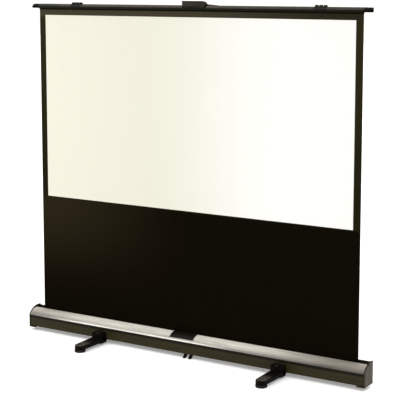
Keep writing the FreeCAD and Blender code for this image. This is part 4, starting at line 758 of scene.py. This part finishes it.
RECIPES = {
    "case paint": lambda: dark_paint(
        "Extrusion Paint", finishes().case_paint, 0.25, 0.46, shadow_band=LIP_SHADOW_BAND),
    "bar paint": bar_enamel,
    "batten paint": lambda: dark_paint("Batten Paint", finishes().bar_shadow, 0.05, 0.6, 0.0),
    "link paint": lambda: dark_paint("Link Paint", scaled(finishes().bar_paint, 0.35), 0.2, 0.4),
    "dark steel": lambda: dark_paint("Blackened Steel", BLACKENED_STEEL, 0.1, 0.35),
    "silver": silver_cover,
    "badge": plain_plate,
    "cap plastic": cap_plastic,
    "end cap plastic": end_cap_plastic,
    "leg plastic": leg_plastic,
    "handle plastic": handle_plastic,
    "saddle coat": saddle_coat,
    "masking": black_cloth,
    "white": white_coat,
    "felt": felt_strip,
    "steel": plated_steel,
    "rubber": pad_rubber,
    "floor": floor_paint,
}


def finish_named(name):
    """The material of that name, made the first time that it is asked for."""
    key = "finish " + name
    made = bpy.context.scene.get(key)
    if made is None:
        made = RECIPES[name]()
        bpy.context.scene[key] = made
    return made


def paint(finish, *nodes):
    """Gives a finish to CAD nodes, whose meshes stay as they are."""
    for name in nodes:
        slots = frame["nodes"][name].data.materials
        slots.clear()
        slots.append(finish_named(finish))


# Mesh helpers

def attached(piece, body, replaced):
    """Hangs a piece on the body that it rides on, and hides the CAD nodes that it stands for."""
    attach(piece, body)
    if replaced:
        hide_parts(*replaced)
    return piece


def new_object(name, data):
    made = bpy.data.objects.new(name, data)
    bpy.context.scene.collection.objects.link(made)
    return made


def new_piece(name, mesh, finish, body, replaced=()):
    mesh.materials.append(finish_named(finish))
    return attached(new_object(name, mesh), body, replaced)


def mesh_from(name, shape):
    bmesh.ops.recalc_face_normals(shape, faces=shape.faces)
    mesh = bpy.data.meshes.new(name)
    shape.to_mesh(mesh)
    shape.free()
    return mesh


def lathe(name, outline, centre, steps):
    """A closed solid turned about an upright axis, from (radius, height) corners that end on the axis."""
    shape = bmesh.new()
    turns = [math.tau * step / steps for step in range(steps)]
    rings = []
    for radius, height in outline:
        if radius > 0.0:
            spots = [(centre.x + radius * math.cos(turn), centre.y + radius * math.sin(turn), height)
                     for turn in turns]
            rings.append([shape.verts.new(spot) for spot in spots])
        else:
            rings.append([shape.verts.new((centre.x, centre.y, height))] * steps)
    for upper, lower in zip(rings, rings[1:]):
        for step in range(steps):
            corners = (upper[step - 1], upper[step], lower[step], lower[step - 1])
            # Two corners on the axis are one, which leaves a triangle.
            shape.faces.new(list(dict.fromkeys(corners)))
    return mesh_from(name, shape)


def sheet_mesh(name, low, high, rows):
    """A thin closed sheet in the XZ plane, whose front and back follow the shared ripple."""
    shape = bmesh.new()
    width = high.x - low.x
    height = high.z - low.z
    columns = [low.x + width * column / SHEET_COLUMNS for column in range(SHEET_COLUMNS + 1)]
    levels = [low.z + height * row / rows for row in range(rows + 1)]
    front, back = [
        [[shape.verts.new((x, y + ripple(x, z), z)) for x in columns] for z in levels]
        for y in (low.y, high.y)]
    rims = [(front[end], back[end]) for end in (0, -1)]
    rims += [([line[end] for line in front], [line[end] for line in back]) for end in (0, -1)]
    for lines in (front, back, *rims):
        for below, above in zip(lines, lines[1:]):
            for left in range(len(below) - 1):
                shape.faces.new((below[left], below[left + 1], above[left + 1], above[left]))
    return mesh_from(name, shape)


def ripple(x, z):
    """How far the cloth and its coat leave their plane: two waves of unlike lengths, calm at the ends."""
    settings = bpy.context.scene.screen_cloth
    rise = (z - COVER_HIGH.z) / settings.calm_length
    fall = (CLOTH_HIGH.z - z) / settings.calm_length
    calm = max(0.0, min(1.0, rise, fall))
    turn = math.tau * x / settings.ripple_pitch
    wave = math.sin(turn + 1.7 * math.sin(2.1 * z)) + 0.4 * math.sin(2.3 * turn + 3.0 * z)
    return settings.ripple * calm * calm * (3 - 2 * calm) * wave / 1.4


# Geometry Nodes trees

def geometry_tree(name, inputs):
    """A geometry tree with a geometry input and output and further named inputs."""
    geometry = (("Geometry", "Geometry", None),)
    wiring, given, made = named_tree(name, "GeometryNodeTree", geometry + inputs, geometry)
    wiring.tree.is_modifier = True
    return wiring, given, made


def lifted(wiring, shape, height):
    """A shape moved along Z."""
    feeds = {"Geometry": shape, "Translation": wiring.vector(z=height)}
    return wiring.add("GeometryNodeTransform", feeds).outputs["Geometry"]


def set_on_points(wiring, points, shape, material):
    """Instances of a shape on every point, turned to the point's aim, realized and painted."""
    aim = wiring.add("GeometryNodeInputNamedAttribute", {"Name": "aim"}, data_type="FLOAT_VECTOR")
    turn = wiring.add("FunctionNodeAlignRotationToVector", {"Vector": aim.outputs["Attribute"]}, axis="Z")
    feeds = {"Points": points, "Instance": shape, "Rotation": turn.outputs["Rotation"]}
    copies = wiring.add("GeometryNodeInstanceOnPoints", feeds)
    real = wiring.add("GeometryNodeRealizeInstances", {"Geometry": copies.outputs["Instances"]})
    painted = {"Geometry": real.outputs["Geometry"], "Material": material}
    return wiring.add("GeometryNodeSetMaterial", painted).outputs["Geometry"]


@made_once("Cross-Recessed Screws")
def screw_tree(name):
    """Pan-head screws with a cross recess: head above each point, shank below it."""
    wiring, given, made = geometry_tree(name, (
        ("Head Radius", "Float", 0.004), ("Head Height", "Float", 0.002), ("Sides", "Int", 24),
        ("Recess Share", "Float", 0.55), ("Shank Radius", "Float", 0.002),
        ("Shank Length", "Float", 0.01), ("Finish", "Material", None)))
    radius = given["Head Radius"]
    height = given["Head Height"]
    feeds = {"Vertices": given["Sides"], "Radius Top": wiring.product(radius, HEAD_TAPER),
             "Radius Bottom": radius, "Depth": height}
    head = wiring.add("GeometryNodeMeshCone", feeds, fill_type="NGON")
    recess = wiring.add(
        "GeometryNodeMeshBoolean", {"Mesh 1": head.outputs["Mesh"]}, operation="DIFFERENCE")
    arm = wiring.product(radius, wiring.product(given["Recess Share"], 2.0))
    width = wiring.product(radius, RECESS_WIDTH)
    for length_x, length_y in ((arm, width), (width, arm)):
        size = wiring.vector(length_x, length_y, height)
        bar = wiring.add("GeometryNodeMeshCube", {"Size": size}).outputs["Mesh"]
        wiring.feed(recess.inputs["Mesh 2"], lifted(wiring, bar, wiring.product(height, RECESS_LIFT)))
    feeds = {"Vertices": SHANK_SIDES, "Radius": given["Shank Radius"], "Depth": given["Shank Length"]}
    shank = wiring.add("GeometryNodeMeshCylinder", feeds, fill_type="NGON").outputs["Mesh"]
    lowered = lifted(wiring, shank, wiring.product(given["Shank Length"], -0.5))
    whole = wiring.add("GeometryNodeJoinGeometry", {"Geometry": recess.outputs["Mesh"]})
    wiring.feed(whole.inputs["Geometry"], lowered)
    screws = set_on_points(wiring, given["Geometry"], whole.outputs["Geometry"], given["Finish"])
    wiring.feed(made["Geometry"], screws)
    return wiring.tree


@made_once("Domed Rivets")
def rivet_tree(name):
    """Low domed rivet heads on points."""
    wiring, given, made = geometry_tree(name, (
        ("Head Radius", "Float", 0.003), ("Head Height", "Float", 0.001), ("Sides", "Int", 20),
        ("Finish", "Material", None)))
    feeds = {"Segments": given["Sides"], "Rings": RIVET_RINGS, "Radius": 1.0}
    ball = wiring.add("GeometryNodeMeshUVSphere", feeds).outputs["Mesh"]
    size = wiring.vector(given["Head Radius"], given["Head Radius"], given["Head Height"])
    flat = wiring.add("GeometryNodeTransform", {"Geometry": ball, "Scale": size}).outputs["Geometry"]
    rivets = set_on_points(wiring, given["Geometry"], flat, given["Finish"])
    wiring.feed(made["Geometry"], rivets)
    return wiring.tree


def grown(name, tree, points, aims, values, finish, body, replaced=()):
    """Runs a tree on points with aims, and keeps the result as one plain mesh on one body."""
    mesh = bpy.data.meshes.new(name)
    mesh.from_pydata([tuple(point) for point in points], [], [])
    attribute = mesh.attributes.new("aim", "FLOAT_VECTOR", "POINT")
    for item, aim in zip(attribute.data, aims):
        item.vector = aim
    piece = new_object(name, mesh)
    modifier = piece.modifiers.new("Grown", "NODES")
    modifier.node_group = tree
    given = {**values, "Finish": finish_named(finish)}
    for socket in tree.interface.items_tree:
        if socket.in_out == "INPUT" and socket.name in given:
            modifier[socket.identifier] = given[socket.name]
    bpy.context.view_layer.update()
    depsgraph = bpy.context.evaluated_depsgraph_get()
    plain = bpy.data.meshes.new_from_object(piece.evaluated_get(depsgraph))
    piece.modifiers.clear()
    piece.data = plain
    plain.name = name
    if not plain.polygons:
        raise RuntimeError(name + " grew no faces")
    return attached(piece, body, replaced)


# Places and small pieces that the operators use

def cap_screw_places():
    """Y and Z of the three screws of a cap, read from the CAD screws at the left end."""
    corners = [vertex.co for vertex in frame["nodes"]["end_cap_screws"].data.vertices]
    left = min(corner.x for corner in corners)
    screws = []
    for corner in corners:
        if corner.x >= left + SAME_FACE:
            continue
        spot = Vector((corner.y, corner.z))
        near = [screw for screw in screws if (spot - screw[0]).length < 3 * CAP_HEAD_RADIUS]
        if near:
            near[0].append(spot)
        else:
            screws.append([spot])
    return [(middle(spot.x for spot in screw), middle(spot.y for spot in screw)) for screw in screws]


def middle(values):
    values = sorted(values)
    return (values[0] + values[-1]) / 2


def link_ends():
    """Each link with its body and the two pivots that it runs between."""
    left_top = PIVOTS["left_bar_pivot"]
    right_foot = PIVOTS["right_lower_swing"]
    right_top = Vector((right_foot.x, right_foot.y, left_top.z))
    return (
        ("left_lower_link", "lower_arm_left", PIVOTS["left_lower_swing"], PIVOTS["left_elbow"]),
        ("left_upper_link", "upper_arm_left", PIVOTS["left_elbow"], left_top),
        ("right_lower_link", "lower_arm_right", right_foot, PIVOTS["right_elbow"]),
        ("right_upper_link", "upper_arm_right", PIVOTS["right_elbow"], right_top),
    )


def stretch_with_arms(sheet):
    """Gives a cloth a mesh of its own."""
    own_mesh(sheet)


def pad_outline(low, high):
    """Radius and height of a pad's corners: a neck, a grooved rim and a ringed sole."""
    radius = (high.x - low.x) / 2
    crown = [(radius - inset, high.z - depth) for inset, depth in PAD_CROWN]
    sole = [(radius - inset, low.z + rise) for inset, rise in PAD_SOLE]
    return [(0.0, high.z), *crown, *sole, (0.0, low.z)]


def turn_pad(stem, body):
    """Turns a leg's rubber pad in place of the CAD one."""
    low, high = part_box(stem + "_pad")
    mesh = lathe(stem + "_rubber_pad", pad_outline(low, high), (low + high) / 2, PAD_STEPS)
    new_piece(stem + "_rubber_pad", mesh, "rubber", body, (stem + "_pad",))


def set_pad_screw(stem, body, settings):
    """Sets the screw that holds a pad, in place of the CAD one."""
    pad_low, pad_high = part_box(stem + "_pad")
    centre = (pad_low + pad_high) / 2
    low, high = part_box(stem + "_pad_screw")
    radius = (high.x - low.x) / 2
    seat = Vector((centre.x, centre.y, high.z - PAD_SCREW_HEAD))
    values = {"Head Radius": radius, "Head Height": PAD_SCREW_HEAD, "Sides": settings.sides,
              "Recess Share": settings.recess_share, "Shank Radius": radius / 2,
              "Shank Length": seat.z - low.z}
    grown(stem + "_cross_screw", screw_tree(), [seat], [(0.0, 0.0, 1.0)], values, "steel", body,
          (stem + "_pad_screw",))


# The stage

LAMP_PLACE = Vector((-2.05, -1.8, 1.95))
LAMP_TARGET = Vector((-0.3, 0.0, 0.1))
LAMP_SIDE = 0.7
SUN_FALL = Vector((-0.08, 0.14, -1.0))
SUN_SPREAD = math.radians(105.0)
SKY_TONE = (1.0, 0.985, 0.95, 1.0)
SENSOR_WIDTH_MM = 36.0
NEAR_CLIP = 0.05
FAR_CLIP = 200.0


def lay_floor(studio):
    half = studio.floor_size / 2
    mesh = bpy.data.meshes.new("studio_floor")
    corners = [(-half, -half, 0.0), (half, -half, 0.0), (half, half, 0.0), (-half, half, 0.0)]
    mesh.from_pydata(corners, [], [(0, 1, 2, 3)])
    mesh.materials.append(finish_named("floor"))
    new_object("studio_floor", mesh)


def white_surroundings(scene, studio):
    """A white world, which the camera sees brighter than it lights the screen."""
    world = bpy.data.worlds.new("White Surroundings")
    world.use_nodes = True
    wiring = Wiring(world.node_tree)
    sky = world.node_tree.nodes["Background"].inputs
    seen = wiring.add("ShaderNodeLightPath").outputs["Is Camera Ray"]
    wiring.feed(sky["Color"], SKY_TONE)
    brightness = wiring.maths("MULTIPLY_ADD", seen, studio.backdrop - studio.sky, studio.sky)
    wiring.feed(sky["Strength"], brightness)
    scene.world = world


def aim_at(thing, direction):
    thing.rotation_mode = "QUATERNION"
    thing.rotation_quaternion = direction.to_track_quat("-Z", "Y")


def left_lamp(studio):
    """A square soft lamp at the left, in front of the screen and above it."""
    data = bpy.data.lights.new("left_lamp", "AREA")
    data.shape = "SQUARE"
    data.size = LAMP_SIDE
    data.energy = studio.left_lamp
    lamp = new_object("left_lamp", data)
    lamp.location = LAMP_PLACE
    lamp.visible_camera = False
    aim_at(lamp, LAMP_TARGET - LAMP_PLACE)


def top_light(studio):
    """A broad soft light that falls almost straight down."""
    data = bpy.data.lights.new("top_light", "SUN")
    data.angle = SUN_SPREAD
    data.energy = studio.top_light
    aim_at(new_object("top_light", data), SUN_FALL)


def stand_camera(scene, studio):
    data = bpy.data.cameras.new("studio_camera")
    data.sensor_width = SENSOR_WIDTH_MM
    data.lens = studio.lens
    data.shift_y = studio.lift
    data.clip_start = NEAR_CLIP
    data.clip_end = FAR_CLIP
    camera = new_object("studio_camera", data)
    camera.location = studio.stand
    level = math.cos(studio.dip)
    ahead = (-math.sin(studio.heading) * level, math.cos(studio.heading) * level, -math.sin(studio.dip))
    aim_at(camera, Vector(ahead))
    scene.camera = camera


# Operators, one for each piece or group of like pieces

class SCREEN_OT_dress_case(bpy.types.Operator):
    """Paint the case extrusion, its saddles and its foot, and give the slot its felt"""
    bl_idname = "screen.dress_case"
    bl_label = "Dress case"

    def execute(self, context):
        paint("case paint", "case_body")
        paint("felt", "front_slot_seal", "rear_slot_seal")
        paint("saddle coat", "saddle_left", "saddle_right")
        paint("cap plastic", "centre_foot")
        return {"FINISHED"}


class SCREEN_OT_dress_cover(bpy.types.Operator):
    """Give the curved cover its brushed silver and the bare plate its black satin"""
    bl_idname = "screen.dress_cover"
    bl_label = "Dress cover"

    def execute(self, context):
        paint("silver", "front_cover")
        paint("badge", "badge_plate")
        return {"FINISHED"}


class SCREEN_OT_dress_end_caps(bpy.types.Operator):
    """Give the end caps their moulded plastic and set their three screws"""
    bl_idname = "screen.dress_end_caps"
    bl_label = "Dress end caps"

    def execute(self, context):
        settings = context.scene.screen_fasteners
        paint("end cap plastic", "end_cap_left", "end_cap_right")
        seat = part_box("end_cap_screws")[1].x - CAP_HEAD
        places = [(side, y, z) for side in (-1, 1) for y, z in cap_screw_places()]
        points = [(side * seat, y, z) for side, y, z in places]
        aims = [(side, 0.0, 0.0) for side, y, z in places]
        values = {"Head Radius": CAP_HEAD_RADIUS, "Head Height": CAP_HEAD, "Sides": settings.sides,
                  "Recess Share": settings.recess_share, "Shank Radius": CAP_SHANK_RADIUS,
                  "Shank Length": CAP_SHANK}
        grown("cap_screws", screw_tree(), points, aims, values, "dark steel", "case",
              ("end_cap_screws",))
        return {"FINISHED"}


class SCREEN_OT_hang_masking_cloth(bpy.types.Operator):
    """Stretch the black masking cloth from the roller to the batten"""
    bl_idname = "screen.hang_masking_cloth"
    bl_label = "Hang masking cloth"

    def execute(self, context):
        tucked = CLOTH_HIGH + Vector((0.0, 0.0, HEM_TUCK))
        mesh = sheet_mesh("masking_cloth", CLOTH_LOW, tucked, CLOTH_ROWS)
        cloth = new_piece("masking_cloth", mesh, "masking", "case", ("masking_fabric",))
        stretch_with_arms(cloth)
        return {"FINISHED"}


class SCREEN_OT_lay_viewing_surface(bpy.types.Operator):
    """Lay the white viewing coat on the front of the cloth"""
    bl_idname = "screen.lay_viewing_surface"
    bl_label = "Lay viewing surface"

    def execute(self, context):
        stand = context.scene.screen_cloth.coat_stand
        low = Vector((VIEW_LOW.x, CLOTH_LOW.y - stand, VIEW_LOW.z))
        high = Vector((VIEW_HIGH.x, CLOTH_LOW.y - stand / 2, VIEW_HIGH.z))
        mesh = sheet_mesh("white_coat", low, high, COAT_ROWS)
        coat = new_piece("white_coat", mesh, "white", "case", ("viewing_surface",))
        stretch_with_arms(coat)
        return {"FINISHED"}


class SCREEN_OT_dress_bar(bpy.types.Operator):
    """Paint the top bar and its batten, and give the bar its black ends"""
    bl_idname = "screen.dress_bar"
    bl_label = "Dress bar"

    def execute(self, context):
        paint("bar paint", "top_bar")
        paint("batten paint", "hem_batten")
        paint("cap plastic", "bar_cap_left", "bar_cap_right")
        return {"FINISHED"}


class SCREEN_OT_dress_handle_and_clamps(bpy.types.Operator):
    """Give the pull handle and the ribbed clamps their moulded plastic"""
    bl_idname = "screen.dress_handle_and_clamps"
    bl_label = "Dress handle and clamps"

    def execute(self, context):
        paint("handle plastic", "pull_handle", "bar_clamp_left", "bar_clamp_right")
        return {"FINISHED"}


class SCREEN_OT_dress_links(bpy.types.Operator):
    """Paint the elbow arms and set the rivets that hold their end blocks"""
    bl_idname = "screen.dress_links"
    bl_label = "Dress links"

    def execute(self, context):
        settings = context.scene.screen_fasteners
        paint("link paint", "lower_arm_left", "lower_arm_right", "upper_arm_left", "upper_arm_right")
        paint("steel", "elbow_pin_left", "elbow_pin_right", "elbow_washer_left", "elbow_washer_right",
              "base_pivot_pins", "bar_pivot_pins")
        paint("dark steel", "arm_bracket_left", "arm_bracket_right", "arm_plate_left", "arm_plate_right")
        values = {"Head Radius": settings.rivet_radius, "Head Height": settings.rivet_height,
                  "Sides": settings.sides}
        for body, node, foot, head in link_ends():
            low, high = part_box(node)
            setback = (head - foot).normalized() * settings.rivet_setback
            ends = (foot + setback, head - setback)
            points = [(end.x, y, end.z) for end in ends for y in (low.y, high.y)]
            aims = [(0.0, side, 0.0) for end in ends for side in (-1.0, 1.0)]
            grown(node + "_rivets", rivet_tree(), points, aims, values, "steel", body)
        return {"FINISHED"}


class SCREEN_OT_dress_roller(bpy.types.Operator):
    """Give the roller, its spring, its plugs and its brackets their finishes"""
    bl_idname = "screen.dress_roller"
    bl_label = "Dress roller"

    def execute(self, context):
        paint("steel", "roller_tube", "spring_arbor", "torsion_spring", "spring_anchor",
              "roller_bracket_left", "roller_bracket_right")
        paint("masking", "fabric_turns")
        paint("cap plastic", "roller_plug_left", "roller_plug_right", "roller_bush")
        return {"FINISHED"}


class SCREEN_OT_dress_legs(bpy.types.Operator):
    """Give the legs their grained plastic, turn the rubber pads and set the pad screws"""
    bl_idname = "screen.dress_legs"
    bl_label = "Dress legs"

    def execute(self, context):
        paint("dark steel", "leg_pins")
        for stem in ("front_left", "front_right", "rear_left", "rear_right"):
            body = stem + "_leg_group"
            paint("leg plastic", stem + "_leg")
            turn_pad(stem, body)
            set_pad_screw(stem, body, context.scene.screen_fasteners)
        return {"FINISHED"}


class SCREEN_OT_light_stage(bpy.types.Operator):
    """Lay the white floor, light it softly and set up the camera"""
    bl_idname = "screen.light_stage"
    bl_label = "Light stage"

    def execute(self, context):
        studio = context.scene.screen_studio
        lay_floor(studio)
        white_surroundings(context.scene, studio)
        top_light(studio)
        left_lamp(studio)
        stand_camera(context.scene, studio)
        context.scene.view_settings.view_transform = "Standard"
        return {"FINISHED"}


class SCREEN_PT_panel(bpy.types.Panel):
    """Lists the screen's settings and the steps that dress it"""
    bl_idname = "SCREEN_PT_panel"
    bl_label = "Projection Screen"
    bl_space_type = "VIEW_3D"
    bl_region_type = "UI"
    bl_category = "Screen"

    def draw(self, context):
        for group in SETTINGS:
            box = self.layout.box()
            box.label(text=group.replace("screen_", "").title())
            settings = getattr(context.scene, group)
            for name in settings.__annotations__:
                box.prop(settings, name)
        for operator in OPERATORS:
            self.layout.operator(operator.bl_idname)


SETTINGS = {
    "screen_cloth": ClothSettings,
    "screen_fasteners": FastenerSettings,
    "screen_finishes": FinishSettings,
    "screen_studio": StudioSettings,
}
OPERATORS = (
    SCREEN_OT_dress_case,
    SCREEN_OT_dress_cover,
    SCREEN_OT_dress_end_caps,
    SCREEN_OT_hang_masking_cloth,
    SCREEN_OT_lay_viewing_surface,
    SCREEN_OT_dress_bar,
    SCREEN_OT_dress_handle_and_clamps,
    SCREEN_OT_dress_links,
    SCREEN_OT_dress_roller,
    SCREEN_OT_dress_legs,
    SCREEN_OT_light_stage,
)
CLASSES = (*SETTINGS.values(), *OPERATORS, SCREEN_PT_panel)


def register():
    for kind in CLASSES:
        bpy.utils.register_class(kind)
    for name, group in SETTINGS.items():
        setattr(bpy.types.Scene, name, PointerProperty(type=group))


def unregister():
    for name in SETTINGS:
        delattr(bpy.types.Scene, name)
    for kind in reversed(CLASSES):
        bpy.utils.unregister_class(kind)


def main():
    """Dresses the screen step by step."""
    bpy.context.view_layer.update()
    register()
    for operator in OPERATORS:
        family, step = operator.bl_idname.split(".")
        getattr(getattr(bpy.ops, family), step)()


if __name__ == "__main__":
    main()
